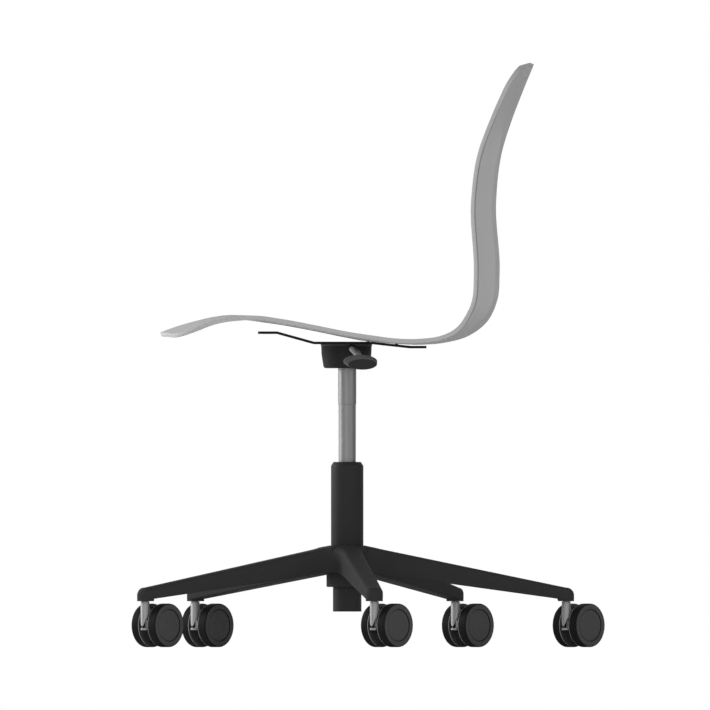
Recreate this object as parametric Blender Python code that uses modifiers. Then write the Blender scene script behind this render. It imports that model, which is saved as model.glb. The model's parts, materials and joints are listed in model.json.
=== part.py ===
"""Swivel chair: a moulded one-piece shell on a gas lift and a five-legged base with twin-wheel casters.

Units are metres. +Z is up and the floor is z = 0. The column's axis is the Z axis.
The chair faces -X, so +X is its rear, and the height lever is on the -Y side.
"""
import math

import bmesh
import bpy
import numpy as np
from mathutils import Matrix, Vector

# Clearances
SEAT_GAP = 0.0003
RUNNING_GAP = 0.0003
LEVER_SIDE_GAP = 0.0004

# Smoothness of round pieces
SMALL_STEPS = 12
ROUND_STEPS = 24
SMOOTH_ANGLE = math.radians(35.0)
MERGE_DISTANCE = 0.00001

# Casters
CASTER_COUNT = 5
CASTER_YAW = math.radians(48.0)
CASTER_TRAIL = 0.0288
CASTER_HEIGHT = 0.0705
WHEEL_RADIUS = 0.03365
WHEEL_WIDTH = 0.0154
WHEEL_SPACE = 0.0182
WHEEL_OUTER_ROUND = 0.0016
WHEEL_INNER_CHAMFER = 0.0016
WHEEL_RECESS_DEPTH = 0.0028
WHEEL_CAP_RADIUS = 0.0242
WHEEL_CAP_BEVEL = 0.0009
AXLE_RADIUS = 0.003
AXLE_BOSS_RADIUS = 0.0075
FORK_BARREL_RADIUS = 0.00685
FORK_FOOT_BOTTOM = 0.0262
FORK_NOTCH_BOTTOM = 0.0295
FORK_NOTCH_TOP = 0.0445
FORK_TONGUE = 0.0022
FORK_ARM_THICKNESS = 0.008
FORK_ARM_END_HALF_HEIGHT = 0.0067
FORK_ARM_ROOT_BOTTOM = 0.0475
FORK_ARM_ROOT_TOP = 0.0665
STEM_RADIUS = 0.005
STEM_LENGTH = 0.0155
STEM_CHAMFER = 0.001
SOCKET_SLEEVE_WALL = 0.0022
SOCKET_SLEEVE_LENGTH = 0.0165

# Star base
FIRST_LEG_ANGLE = math.radians(-11.0)
STEM_CIRCLE_RADIUS = 0.3437
HUB_RADIUS = 0.032
HUB_RIM_WALL = 0.0017
HUB_TOP = 0.1567
HUB_BOTTOM = 0.0927
HUB_SHOULDER_DROP = 0.005
HUB_CHAMFER = 0.0025
LEG_ROOT_RADIUS = 0.024
LEG_ROOT_WIDTH = 0.036
LEG_ROOT_DEPTH = 0.0399
LEG_ROOT_SINK = 0.0006
LEG_TIP_WIDTH = 0.0262
LEG_TIP_DEPTH = 0.0180
LEG_TIP_RISE = 0.0211
LEG_TOP_ROUND = 0.007
LEG_BOTTOM_ROUND = 0.0025
TIP_RADIUS = 0.01335
TIP_SETBACK = 0.0011
LEG_TIP_OVERLAP = 0.0010
LEG_TIP_SINK = 0.0008
TIP_WALL_HEIGHT = 0.0095
TIP_DOME_SEGMENTS = 4

# Column and gas lift
COLUMN_TOP = 0.2855
COLUMN_RADIUS = 0.025
COLUMN_CHAMFER_WIDTH = 0.0039
COLUMN_CHAMFER_HEIGHT = 0.006
COLUMN_FOOT_RADIUS = 0.022
COLUMN_FOOT_DROP = 0.0379
COLUMN_TAPER_HEIGHT = 0.010
COLUMN_BORE_RADIUS = 0.0203
FOOT_RECESS_DEPTH = 0.006
FOOT_FLOOR_THICKNESS = 0.005
SLEEVE_LENGTH = 0.090
SLEEVE_COLLAR_LENGTH = 0.045
BEARING_RADIUS = 0.012
BEARING_HEIGHT = 0.006
BUFFER_RADIUS = 0.010
BUFFER_HEIGHT = 0.007
ROD_RADIUS = 0.005
ROD_END_RADIUS = 0.004
ROD_GROOVE_RADIUS = 0.003
ROD_TIP_LENGTH = 0.002
CLIP_RADIUS = 0.008
CLIP_THICKNESS = 0.0017
PISTON_HEIGHT = 0.018
PISTON_FLOOR_GAP = 0.002
LIFT_EXPOSED_LENGTH = 0.1443
LIFT_STROKE = 0.120
LIFT_RADIUS = 0.014
LIFT_SLIDE_RADIUS = 0.01335
LIFT_STEP_DROP = 0.0555
LIFT_BORE_RADIUS = 0.0118
LIFT_FLOOR_THICKNESS = 0.010
LIFT_HEAD_THICKNESS = 0.010
LIFT_TAPER = 0.0005
LIFT_TOP_INSET = 0.001
BUTTON_RADIUS = 0.0035
BUTTON_CHAMFER = 0.0015
BUTTON_BORE_DEPTH = 0.009
BUTTON_SPRING_ROOM = 0.0045

# Mechanism housing
HOUSING_HEIGHT = 0.0367
HOUSING_SHIFT = -0.0012
HOUSING_TOP_RADIUS = 0.0395
HOUSING_MIDDLE_RADIUS = 0.0385
HOUSING_MIDDLE_DROP = 0.015
HOUSING_BOTTOM_RADIUS = 0.0350
HOUSING_WALL = 0.0035
HOUSING_FLOOR = 0.004
HOUSING_ROUND = 0.004
HOUSING_FLANGE_HEIGHT = 0.003
HOUSING_FLANGE_WIDTH = 0.0005
SOCKET_WALL = 0.0035
SOCKET_FLANGE_WIDTH = 0.0028
SOCKET_FLANGE_HEIGHT = 0.003
SOCKET_DEPTH = 0.0202
BOLT_CIRCLE_RADIUS = 0.0277
BOLT_BOSS_RADIUS = 0.0054
BOLT_COUNT = 4
BOLT_LENGTH = 0.016
FASTENER_RADIUS = 0.0023
FASTENER_HEAD_RADIUS = 0.0045
FASTENER_HEAD_HEIGHT = 0.0024

# Height lever
LEVER_PIVOT_X = 0.004
LEVER_PIVOT_INSET = 0.0135
LEVER_PIVOT_DROP = 0.0072
LEVER_ROD_RADIUS = 0.0037
LEVER_EYE_RADIUS = 0.0045
LEVER_PIN_RADIUS = 0.002
LEVER_LUG_THICKNESS = 0.0045
LEVER_LUG_DEPTH = 0.008
LEVER_SLOT_CLEARANCE = 0.002
LEVER_TONGUE_OVERRUN = 0.004
PADDLE_HALF_LENGTH = 0.0266
PADDLE_HALF_DEPTH = 0.020
PADDLE_TAPER = 0.84
PADDLE_THICKNESS = 0.0062
PADDLE_LEAN = 0.0039
PADDLE_TILT = math.radians(30.0)
PADDLE_EDGE_ROUND = 0.0012
ROD_SEAT_DEPTH = 0.0035

# Seat plate
PLATE_THICKNESS = 0.004
PLATE_HALF_WIDTH = 0.100
PLATE_CORNER = 0.014
PLATE_FRONT_RISE = 0.0158
PLATE_REAR_DROP = 0.0064
PLATE_FRONT_END = -0.1375
PLATE_FRONT_BEND = -0.1082
PLATE_FLAT_START = -0.0512
PLATE_FLAT_END = 0.0385
PLATE_REAR_BEND = 0.0968
PLATE_REAR_END = 0.1222
SCREW_HALF_SPACING = 0.070
SCREW_FLAT_X = 0.032
SCREW_SLOPE_X = 0.076
SCREW_LENGTH = 0.009

# Seat shell
SHELL_THICKNESS = 0.0068
SHELL_ROWS = 32
SHELL_COLUMNS = 12
SHELL_CORNER_ROWS = 5
SHELL_DISH_POWER = 2.2
# Share of the half width at which the flanks of the back start
FLANK_START = 5 / 6
FRONT_HALF_WIDTH = 0.212
SEAT_HALF_WIDTH = 0.225
WAIST_HALF_WIDTH = 0.208
BACK_HALF_WIDTH = 0.212
TOP_HALF_WIDTH = 0.196
FRONT_CORNER_RADIUS = 0.046
TOP_CORNER_RADIUS = 0.045
# Underside of the shell on its middle line, as x and as height over the plate's flat top,
# then how far its side edges stand from there along X and Z
SHELL_STATIONS = (
    (-0.2861, 0.0080, 0.0332, -0.0030),
    (-0.2623, 0.0166, 0.0302, -0.0016),
    (-0.2396, 0.0233, 0.0312, 0.0016),
    (-0.1855, 0.0341, 0.0338, -0.0009),
    (-0.1196, 0.0282, 0.0197, -0.0003),
    (-0.0569, 0.0174, 0.0078, 0.0010),
    (0.0039, 0.0054, 0.0001, 0.0032),
    (0.0658, -0.0023, 0.0000, 0.0013),
    (0.1121, -0.0047, -0.0010, 0.0023),
    (0.1505, -0.0016, -0.0036, 0.0044),
    (0.1890, 0.0098, -0.0148, 0.0083),
    (0.2156, 0.0307, -0.0268, 0.0092),
    (0.2322, 0.0671, -0.0338, 0.0005),
    (0.2349, 0.1045, -0.0346, 0.0000),
    (0.2296, 0.2159, -0.0336, 0.0000),
    (0.2378, 0.2887, -0.0315, 0.0000),
    (0.2547, 0.3440, -0.0278, -0.0009),
    (0.2693, 0.3821, -0.0258, -0.0018),
    (0.2878, 0.4274, -0.0255, -0.0073),
)
# Number of a station, and the shell's half width there
SHELL_WIDTHS = (
    (0, FRONT_HALF_WIDTH),
    (3, SEAT_HALF_WIDTH),
    (6, SEAT_HALF_WIDTH),
    (13, WAIST_HALF_WIDTH),
    (15, BACK_HALF_WIDTH),
    (18, TOP_HALF_WIDTH),
)
# Number of a station, and how far the round dish of the seat has given way to the flanks of the back
FLANK_FORMING = ((0, 0.0), (9, 0.0), (12, 1.0), (15, 1.0), (17, 0.0), (18, 0.0))
# Number of a station, and the bulge of the back between its flanks as a share of the side edge's offset
BACK_BULGES = ((0, 0.16), (14, 0.16), (18, 0.05))

# Heights that follow from the sizes above
TIP_BOTTOM = CASTER_HEIGHT + SEAT_GAP
TIP_TOP = TIP_BOTTOM + LEG_TIP_RISE
COLUMN_BOTTOM = HUB_BOTTOM - COLUMN_FOOT_DROP
FOOT_FLOOR_BOTTOM = COLUMN_BOTTOM + FOOT_RECESS_DEPTH
FOOT_FLOOR_TOP = FOOT_FLOOR_BOTTOM + FOOT_FLOOR_THICKNESS
BEARING_BOTTOM = FOOT_FLOOR_TOP + SEAT_GAP
ROD_SHOULDER = BEARING_BOTTOM + BEARING_HEIGHT + SEAT_GAP
BUFFER_TOP = ROD_SHOULDER + BUFFER_HEIGHT
CYLINDER_BOTTOM = BUFFER_TOP + SEAT_GAP + LIFT_STROKE
CYLINDER_FLOOR_TOP = CYLINDER_BOTTOM + LIFT_FLOOR_THICKNESS
PISTON_BOTTOM = CYLINDER_FLOOR_TOP + PISTON_FLOOR_GAP
HOUSING_BOTTOM = COLUMN_TOP + LIFT_EXPOSED_LENGTH
HOUSING_FLOOR_TOP = HOUSING_BOTTOM + HOUSING_FLOOR
HOUSING_TOP = HOUSING_BOTTOM + HOUSING_HEIGHT
CYLINDER_TOP = HOUSING_BOTTOM + SOCKET_DEPTH - LIFT_TOP_INSET
PLATE_BOTTOM = HOUSING_TOP + SEAT_GAP
PLATE_MIDDLE = PLATE_BOTTOM + PLATE_THICKNESS / 2
PLATE_TOP = PLATE_BOTTOM + PLATE_THICKNESS
LEVER_PIVOT_Y = LEVER_PIVOT_INSET - HOUSING_TOP_RADIUS
LEVER_PIVOT = Vector((LEVER_PIVOT_X, LEVER_PIVOT_Y, HOUSING_TOP - LEVER_PIVOT_DROP))
BUTTON_TOP = LEVER_PIVOT.z - LEVER_ROD_RADIUS - SEAT_GAP
SOCKET_OUTER_RADIUS = LIFT_RADIUS + SEAT_GAP + SOCKET_WALL
STEM_BORE_RADIUS = STEM_RADIUS + RUNNING_GAP
SOCKET_SLEEVE_RADIUS = STEM_BORE_RADIUS + SOCKET_SLEEVE_WALL
WHEEL_HALF_OFFSET = WHEEL_SPACE / 2 + WHEEL_WIDTH / 2

# Lever route from the pivot, from the tongue over the column's axis to the paddle:
# offset along X, offset along Y, offset along Z, thickness as a share of the rod's
LEVER_ROUTE = (
    (-LEVER_PIVOT_X, LEVER_TONGUE_OVERRUN - LEVER_PIVOT_Y, 0.0000, 1.00),
    (-0.0012, 0.0100, 0.0000, 1.00),
    (0.0010, -0.0060, 0.0006, 1.00),
    (0.0036, -0.0145, 0.0014, 1.08),
    (0.0085, -0.0440, -0.0040, 1.30),
    (0.0122, -0.0760, -0.0098, 1.35),
    (0.0142, -0.1020, -0.0136, 1.35),
    (0.0160, -0.1240, -0.0191, 1.35),
)

# Plate line from front to rear, as x and height of the middle of its thickness
PLATE_LINE = (
    (PLATE_FRONT_END, PLATE_MIDDLE + PLATE_FRONT_RISE),
    (PLATE_FRONT_BEND, PLATE_MIDDLE + PLATE_FRONT_RISE),
    (PLATE_FLAT_START, PLATE_MIDDLE),
    (PLATE_FLAT_END, PLATE_MIDDLE),
    (PLATE_REAR_BEND, PLATE_MIDDLE - PLATE_REAR_DROP),
    (PLATE_REAR_END, PLATE_MIDDLE - PLATE_REAR_DROP),
)


def clear_scene():
    for item in list(bpy.data.objects):
        bpy.data.objects.remove(item, do_unlink=True)


def new_collection(name):
    collection = bpy.data.collections.new(name)
    bpy.context.scene.collection.children.link(collection)
    return collection


def new_material(name, colour, roughness, metallic):
    material = bpy.data.materials.new(name)
    material.use_nodes = True
    shader = material.node_tree.nodes["Principled BSDF"]
    shader.inputs["Base Color"].default_value = (*colour, 1.0)
    shader.inputs["Roughness"].default_value = roughness
    shader.inputs["Metallic"].default_value = metallic
    return material


def new_empty(name, location, turn=0.0):
    empty = bpy.data.objects.new(name, None)
    empty.location = location
    empty.rotation_euler = (0.0, 0.0, turn)
    PARTS.objects.link(empty)
    return empty


def place_part(name, mesh, material, parent, location=(0.0, 0.0, 0.0), rotation=None):
    """Make one sub-part from a mesh, with its own place under its parent."""
    part = bpy.data.objects.new(name, mesh)
    if not mesh.materials:
        mesh.materials.append(material)
    mesh.shade_smooth()
    mesh.set_sharp_from_angle(angle=SMOOTH_ANGLE)
    part.parent = parent
    part.location = location
    if rotation is not None:
        part.rotation_euler = rotation.to_euler()
    PARTS.objects.link(part)
    return part


def place_cutter(name, mesh, matrix=None):
    """Make a shape that only cuts or fills another piece."""
    cutter = bpy.data.objects.new(name, mesh)
    if matrix is not None:
        cutter.matrix_world = matrix
    cutter.hide_render = True
    cutter.display_type = "WIRE"
    CUTTERS.objects.link(cutter)
    return cutter


def combine(item, other, operation):
    modifier = item.modifiers.new(f"{operation.lower()}_{other.name}", "BOOLEAN")
    modifier.operation = operation
    modifier.solver = "EXACT"
    modifier.object = other


def mesh_from(shape, name):
    mesh = bpy.data.meshes.new(name)
    shape.to_mesh(mesh)
    shape.free()
    return mesh


def evaluated_mesh(item, name):
    """Return the item's mesh with its modifiers worked in, and remove the item."""
    bpy.context.view_layer.update()
    depsgraph = bpy.context.evaluated_depsgraph_get()
    mesh = bpy.data.meshes.new_from_object(item.evaluated_get(depsgraph))
    mesh.name = name
    bpy.data.objects.remove(item, do_unlink=True)
    return mesh


def turned_mesh(name, profile, steps, closed=False):
    """Turn a profile of radius and height round Z; it runs down its outer side."""
    shape = bmesh.new()
    points = [shape.verts.new((radius, 0.0, height)) for radius, height in profile]
    for first, second in zip(points, points[1:]):
        shape.edges.new((first, second))
    if closed:
        shape.edges.new((points[-1], points[0]))
    outline = bpy.data.objects.new(name, mesh_from(shape, name))
    CUTTERS.objects.link(outline)
    screw = outline.modifiers.new("turn", "SCREW")
    screw.steps = steps
    screw.render_steps = steps
    screw.use_merge_vertices = True
    screw.merge_threshold = MERGE_DISTANCE
    return evaluated_mesh(outline, name)


def tube_mesh(name, route, thickness):
    """Make a round tube along a smooth route of points that each give a share of the thickness."""
    curve = bpy.data.curves.new(name, "CURVE")
    curve.dimensions = "3D"
    curve.bevel_depth = thickness
    curve.bevel_resolution = 4
    curve.use_fill_caps = True
    curve.resolution_u = 2
    spline = curve.splines.new("NURBS")
    spline.points.add(len(route) - 1)
    for point, (x, y, z, share) in zip(spline.points, route):
        point.co = (x, y, z, 1.0)
        point.radius = share
    spline.order_u = 3
    spline.use_endpoint_u = True
    tube = bpy.data.objects.new(name, curve)
    CUTTERS.objects.link(tube)
    mesh = evaluated_mesh(tube, name)
    shape = bmesh.new()
    shape.from_mesh(mesh)
    bmesh.ops.remove_doubles(shape, verts=shape.verts, dist=MERGE_DISTANCE)
    bmesh.ops.recalc_face_normals(shape, faces=shape.faces)
    shape.to_mesh(mesh)
    shape.free()
    return mesh


def box_mesh(name, size, centre):
    shape = bmesh.new()
    bmesh.ops.create_cube(shape, size=1.0)
    bmesh.ops.scale(shape, verts=shape.verts, vec=size)
    bmesh.ops.translate(shape, verts=shape.verts, vec=centre)
    return mesh_from(shape, name)


def rod_mesh(name, radius, length, steps):
    """Make a plain round bar along Z, centred on the origin."""
    shape = bmesh.new()
    bmesh.ops.create_cone(
        shape, cap_ends=True, segments=steps, radius1=radius, radius2=radius, depth=length
    )
    return mesh_from(shape, name)


def repeated_mesh(name, mesh, matrices):
    """Gather separate copies of a mesh, one for each matrix."""
    shape = bmesh.new()
    for matrix in matrices:
        copy = mesh.copy()
        copy.transform(matrix)
        shape.from_mesh(copy)
        bpy.data.meshes.remove(copy)
    return mesh_from(shape, name)


def along_y():
    """Turn a shape that runs along Z so that it runs along Y."""
    return Matrix.Rotation(math.radians(90.0), 4, "X")


def along_x():
    """Turn a shape that runs along Z so that it runs along X."""
    return Matrix.Rotation(math.radians(90.0), 4, "Y")


def stem_places():
    """Return where the caster stems' axes meet the floor."""
    places = []
    for index in range(CASTER_COUNT):
        angle = FIRST_LEG_ANGLE - index * 2.0 * math.pi / CASTER_COUNT
        places.append(Vector((math.cos(angle), math.sin(angle), 0.0)) * STEM_CIRCLE_RADIUS)
    return places


def leg_angles():
    return [math.atan2(place.y, place.x) for place in stem_places()]


def make_leg_mesh():
    """Make one leg along +X with its rounded tip."""
    tip_centre = STEM_CIRCLE_RADIUS - TIP_SETBACK
    shape = bmesh.new()
    bmesh.ops.create_cube(shape, size=1.0)
    for vertex in shape.verts:
        at_tip = vertex.co.x > 0.0
        width = LEG_TIP_WIDTH if at_tip else LEG_ROOT_WIDTH
        top = TIP_TOP - LEG_TIP_SINK if at_tip else HUB_TOP - LEG_ROOT_SINK
        depth = LEG_TIP_DEPTH if at_tip else LEG_ROOT_DEPTH
        vertex.co.x = tip_centre + LEG_TIP_OVERLAP if at_tip else LEG_ROOT_RADIUS
        vertex.co.y = math.copysign(width / 2, vertex.co.y)
        vertex.co.z = top if vertex.co.z > 0.0 else top - depth
    long_edges = [edge for edge in shape.edges if edge.verts[0].co.x != edge.verts[1].co.x]
    middle = (HUB_TOP + TIP_BOTTOM) / 2
    ridge = [edge for edge in long_edges if sum(v.co.z for v in edge.verts) / 2 > middle]
    keel = [edge for edge in long_edges if edge not in ridge]
    bmesh.ops.bevel(
        shape, geom=ridge, offset=LEG_TOP_ROUND, segments=3, profile=0.5, affect="EDGES"
    )
    keel = [edge for edge in keel if edge.is_valid]
    bmesh.ops.bevel(
        shape, geom=keel, offset=LEG_BOTTOM_ROUND, segments=1, profile=0.5, affect="EDGES"
    )
    leg = place_cutter("leg", mesh_from(shape, "leg"))

    dome_rise = TIP_TOP - TIP_BOTTOM - TIP_WALL_HEIGHT
    profile = [(0.0, TIP_TOP)]
    for step in range(1, TIP_DOME_SEGMENTS + 1):
        angle = step * math.pi / 2 / TIP_DOME_SEGMENTS
        radius = TIP_RADIUS * math.sin(angle)
        profile.append((radius, TIP_BOTTOM + TIP_WALL_HEIGHT + dome_rise * math.cos(angle)))
    profile.append((TIP_RADIUS, TIP_BOTTOM))
    profile.append((0.0, TIP_BOTTOM))
    tip_mesh = turned_mesh("leg_tip", profile, ROUND_STEPS)
    half_step = Matrix.Rotation(math.pi / ROUND_STEPS, 4, "Z")
    tip = place_cutter("leg_tip", tip_mesh, Matrix.Translation((tip_centre, 0.0, 0.0)) @ half_step)
    combine(leg, tip, "UNION")
    return evaluated_mesh(leg, "leg_with_tip")


def make_star_base(parent):
    hub_profile = (
        (0.0, HUB_TOP),
        (COLUMN_RADIUS + SEAT_GAP + HUB_RIM_WALL, HUB_TOP),
        (HUB_RADIUS, HUB_TOP - HUB_SHOULDER_DROP),
        (HUB_RADIUS, HUB_BOTTOM + HUB_CHAMFER),
        (HUB_RADIUS - HUB_CHAMFER, HUB_BOTTOM),
        (0.0, HUB_BOTTOM),
    )
    hub = place_part("star_base", turned_mesh("hub", hub_profile, ROUND_STEPS), BLACK_BASE, parent)
    leg_mesh = make_leg_mesh()
    for index, angle in enumerate(leg_angles()):
        leg = place_cutter(f"leg_{index + 1}", leg_mesh, Matrix.Rotation(angle, 4, "Z"))
        combine(hub, leg, "UNION")

    taper_top = HUB_TOP - HUB_SHOULDER_DROP
    wide = COLUMN_RADIUS + SEAT_GAP
    narrow = COLUMN_FOOT_RADIUS + SEAT_GAP
    bore_profile = (
        (0.0, HUB_TOP + HUB_CHAMFER),
        (wide, HUB_TOP + HUB_CHAMFER),
        (wide, taper_top),
        (narrow, taper_top - COLUMN_TAPER_HEIGHT),
        (narrow, HUB_BOTTOM - HUB_CHAMFER),
        (0.0, HUB_BOTTOM - HUB_CHAMFER),
    )
    bore = place_cutter("hub_bore", turned_mesh("hub_bore", bore_profile, ROUND_STEPS))
    combine(hub, bore, "DIFFERENCE")

    below = TIP_BOTTOM - HUB_CHAMFER
    above = TIP_BOTTOM + SOCKET_SLEEVE_LENGTH + SEAT_GAP
    hole = rod_mesh("socket_hole", SOCKET_SLEEVE_RADIUS + SEAT_GAP, above - below, ROUND_STEPS)
    middle = Vector((0.0, 0.0, (above + below) / 2))
    matrices = [Matrix.Translation(place + middle) for place in stem_places()]
    holes = place_cutter("socket_holes", repeated_mesh("socket_holes", hole, matrices))
    combine(hub, holes, "DIFFERENCE")


def make_column(parent):
    taper_top = HUB_TOP - HUB_SHOULDER_DROP
    rod_hole = ROD_END_RADIUS + RUNNING_GAP
    profile = (
        (COLUMN_BORE_RADIUS, COLUMN_TOP),
        (COLUMN_RADIUS - COLUMN_CHAMFER_WIDTH, COLUMN_TOP),
        (COLUMN_RADIUS, COLUMN_TOP - COLUMN_CHAMFER_HEIGHT),
        (COLUMN_RADIUS, taper_top),
        (COLUMN_FOOT_RADIUS, taper_top - COLUMN_TAPER_HEIGHT),
        (COLUMN_FOOT_RADIUS, COLUMN_BOTTOM),
        (COLUMN_BORE_RADIUS, COLUMN_BOTTOM),
        (COLUMN_BORE_RADIUS, FOOT_FLOOR_BOTTOM),
        (rod_hole, FOOT_FLOOR_BOTTOM),
        (rod_hole, FOOT_FLOOR_TOP),
        (COLUMN_BORE_RADIUS, FOOT_FLOOR_TOP),
    )
    mesh = turned_mesh("column_tube", profile, ROUND_STEPS, closed=True)
    place_part("column_tube", mesh, BLACK_STEEL, parent)

    sleeve_outer = COLUMN_BORE_RADIUS - SEAT_GAP
    sleeve_inner = LIFT_RADIUS + RUNNING_GAP
    collar_inner = LIFT_SLIDE_RADIUS + RUNNING_GAP
    sleeve_bottom = COLUMN_TOP - SLEEVE_LENGTH
    collar_top = sleeve_bottom + SLEEVE_COLLAR_LENGTH
    profile = (
        (sleeve_inner, COLUMN_TOP),
        (sleeve_outer, COLUMN_TOP),
        (sleeve_outer, sleeve_bottom),
        (collar_inner, sleeve_bottom),
        (collar_inner, collar_top),
        (sleeve_inner, collar_top),
    )
    mesh = turned_mesh("guide_sleeve", profile, ROUND_STEPS, closed=True)
    place_part("guide_sleeve", mesh, BLACK_PLASTIC, parent)

    profile = (
        (rod_hole, BEARING_BOTTOM + BEARING_HEIGHT),
        (BEARING_RADIUS, BEARING_BOTTOM + BEARING_HEIGHT),
        (BEARING_RADIUS, BEARING_BOTTOM),
        (rod_hole, BEARING_BOTTOM),
    )
    mesh = turned_mesh("thrust_bearing", profile, ROUND_STEPS, closed=True)
    place_part("thrust_bearing", mesh, STEEL, parent)


def make_spindle(parent):
    groove_top = FOOT_FLOOR_BOTTOM
    groove_bottom = groove_top - CLIP_THICKNESS - 2 * SEAT_GAP
    piston_radius = LIFT_BORE_RADIUS - RUNNING_GAP
    profile = (
        (0.0, PISTON_BOTTOM + PISTON_HEIGHT),
        (piston_radius, PISTON_BOTTOM + PISTON_HEIGHT),
        (piston_radius, PISTON_BOTTOM),
        (ROD_RADIUS, PISTON_BOTTOM),
        (ROD_RADIUS, ROD_SHOULDER),
        (ROD_END_RADIUS, ROD_SHOULDER),
        (ROD_END_RADIUS, groove_top),
        (ROD_GROOVE_RADIUS, groove_top),
        (ROD_GROOVE_RADIUS, groove_bottom),
        (ROD_END_RADIUS, groove_bottom),
        (ROD_END_RADIUS, groove_bottom - ROD_TIP_LENGTH),
        (0.0, groove_bottom - ROD_TIP_LENGTH),
    )
    mesh = turned_mesh("piston_rod", profile, ROUND_STEPS)
    place_part("piston_rod", mesh, STEEL, parent)

    clip_top = groove_top - SEAT_GAP
    clip_bottom = clip_top - CLIP_THICKNESS
    clip_inner = ROD_GROOVE_RADIUS + SEAT_GAP
    profile = (
        (clip_inner, clip_top),
        (CLIP_RADIUS, clip_top),
        (CLIP_RADIUS, clip_bottom),
        (clip_inner, clip_bottom),
    )
    mesh = turned_mesh("retaining_clip", profile, ROUND_STEPS, closed=True)
    place_part("retaining_clip", mesh, STEEL, parent)

    buffer_inner = ROD_RADIUS + SEAT_GAP
    profile = (
        (buffer_inner, BUFFER_TOP),
        (BUFFER_RADIUS, BUFFER_TOP),
        (BUFFER_RADIUS, ROD_SHOULDER),
        (buffer_inner, ROD_SHOULDER),
    )
    mesh = turned_mesh("buffer_ring", profile, ROUND_STEPS, closed=True)
    place_part("buffer_ring", mesh, RUBBER, parent)


def make_gas_cylinder(parent):
    step = HOUSING_BOTTOM - LIFT_STEP_DROP
    button_bore = BUTTON_RADIUS + RUNNING_GAP
    bore_bottom = CYLINDER_TOP - BUTTON_BORE_DEPTH
    chamber_top = bore_bottom - LIFT_HEAD_THICKNESS
    rod_hole = ROD_RADIUS + RUNNING_GAP
    profile = (
        (0.0, bore_bottom),
        (button_bore, bore_bottom),
        (button_bore, CYLINDER_TOP),
        (LIFT_RADIUS - LIFT_TAPER, CYLINDER_TOP),
        (LIFT_RADIUS, HOUSING_BOTTOM),
        (LIFT_RADIUS, step),
        (LIFT_SLIDE_RADIUS, step),
        (LIFT_SLIDE_RADIUS, CYLINDER_BOTTOM),
        (rod_hole, CYLINDER_BOTTOM),
        (rod_hole, CYLINDER_FLOOR_TOP),
        (LIFT_BORE_RADIUS, CYLINDER_FLOOR_TOP),
        (LIFT_BORE_RADIUS, chamber_top),
        (0.0, chamber_top),
    )
    mesh = turned_mesh("gas_cylinder", profile, ROUND_STEPS)
    place_part("gas_cylinder", mesh, CHROME, parent)


def make_release_button(parent):
    bottom = CYLINDER_TOP - BUTTON_BORE_DEPTH + BUTTON_SPRING_ROOM
    profile = (
        (0.0, BUTTON_TOP),
        (BUTTON_RADIUS - BUTTON_CHAMFER, BUTTON_TOP),
        (BUTTON_RADIUS, BUTTON_TOP - BUTTON_CHAMFER),
        (BUTTON_RADIUS, bottom),
        (0.0, bottom),
    )
    place_part("release_button", turned_mesh("release_button", profile, SMALL_STEPS), STEEL, parent)


def make_lift_socket(parent):
    outer = SOCKET_OUTER_RADIUS
    inner_bottom = LIFT_RADIUS + SEAT_GAP
    inner_top = inner_bottom - LIFT_TAPER
    top = HOUSING_BOTTOM + SOCKET_DEPTH
    flange_bottom = HOUSING_FLOOR_TOP + SEAT_GAP
    flange_top = flange_bottom + SOCKET_FLANGE_HEIGHT
    profile = (
        (inner_top, top),
        (outer, top),
        (outer, flange_top),
        (outer + SOCKET_FLANGE_WIDTH, flange_top),
        (outer + SOCKET_FLANGE_WIDTH, flange_bottom),
        (outer, flange_bottom),
        (outer, HOUSING_BOTTOM),
        (inner_bottom, HOUSING_BOTTOM),
    )
    mesh = turned_mesh("lift_socket", profile, ROUND_STEPS, closed=True)
    place_part("lift_socket", mesh, STEEL, parent)


def bolt_places():
    """Return the housing bolts' heads, flush with the top of the plate."""
    places = []
    for index in range(BOLT_COUNT):
        angle = (index + 0.5) * 2.0 * math.pi / BOLT_COUNT
        place = Vector((math.cos(angle), math.sin(angle), 0.0)) * BOLT_CIRCLE_RADIUS
        places.append(Matrix.Translation((HOUSING_SHIFT + place.x, place.y, PLATE_TOP)))
    return places


def screw_places():
    """Return the shell screws' heads, flush with the underside of the plate and square to it."""
    slope = math.atan2(PLATE_REAR_DROP, PLATE_REAR_BEND - PLATE_FLAT_END)
    slope_height = PLATE_MIDDLE - (SCREW_SLOPE_X - PLATE_FLAT_END) * math.tan(slope)
    spots = ((SCREW_FLAT_X, PLATE_MIDDLE, 0.0), (SCREW_SLOPE_X, slope_height, slope))
    upside_down = Matrix.Rotation(math.pi, 4, "X")
    drop = Matrix.Translation((0.0, 0.0, PLATE_THICKNESS / 2))
    places = []
    for x, height, lean in spots:
        for side in (-SCREW_HALF_SPACING, SCREW_HALF_SPACING):
            spot = Matrix.Translation((x, side, height))
            places.append(spot @ Matrix.Rotation(lean, 4, "Y") @ upside_down @ drop)
    return places


def fastener_mesh(name, length):
    """Make a countersunk fastener that points down, with its head's face at z = 0."""
    profile = (
        (0.0, 0.0),
        (FASTENER_HEAD_RADIUS, 0.0),
        (FASTENER_RADIUS, -FASTENER_HEAD_HEIGHT),
        (FASTENER_RADIUS, -length),
        (0.0, -length),
    )
    return turned_mesh(name, profile, SMALL_STEPS)


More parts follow.
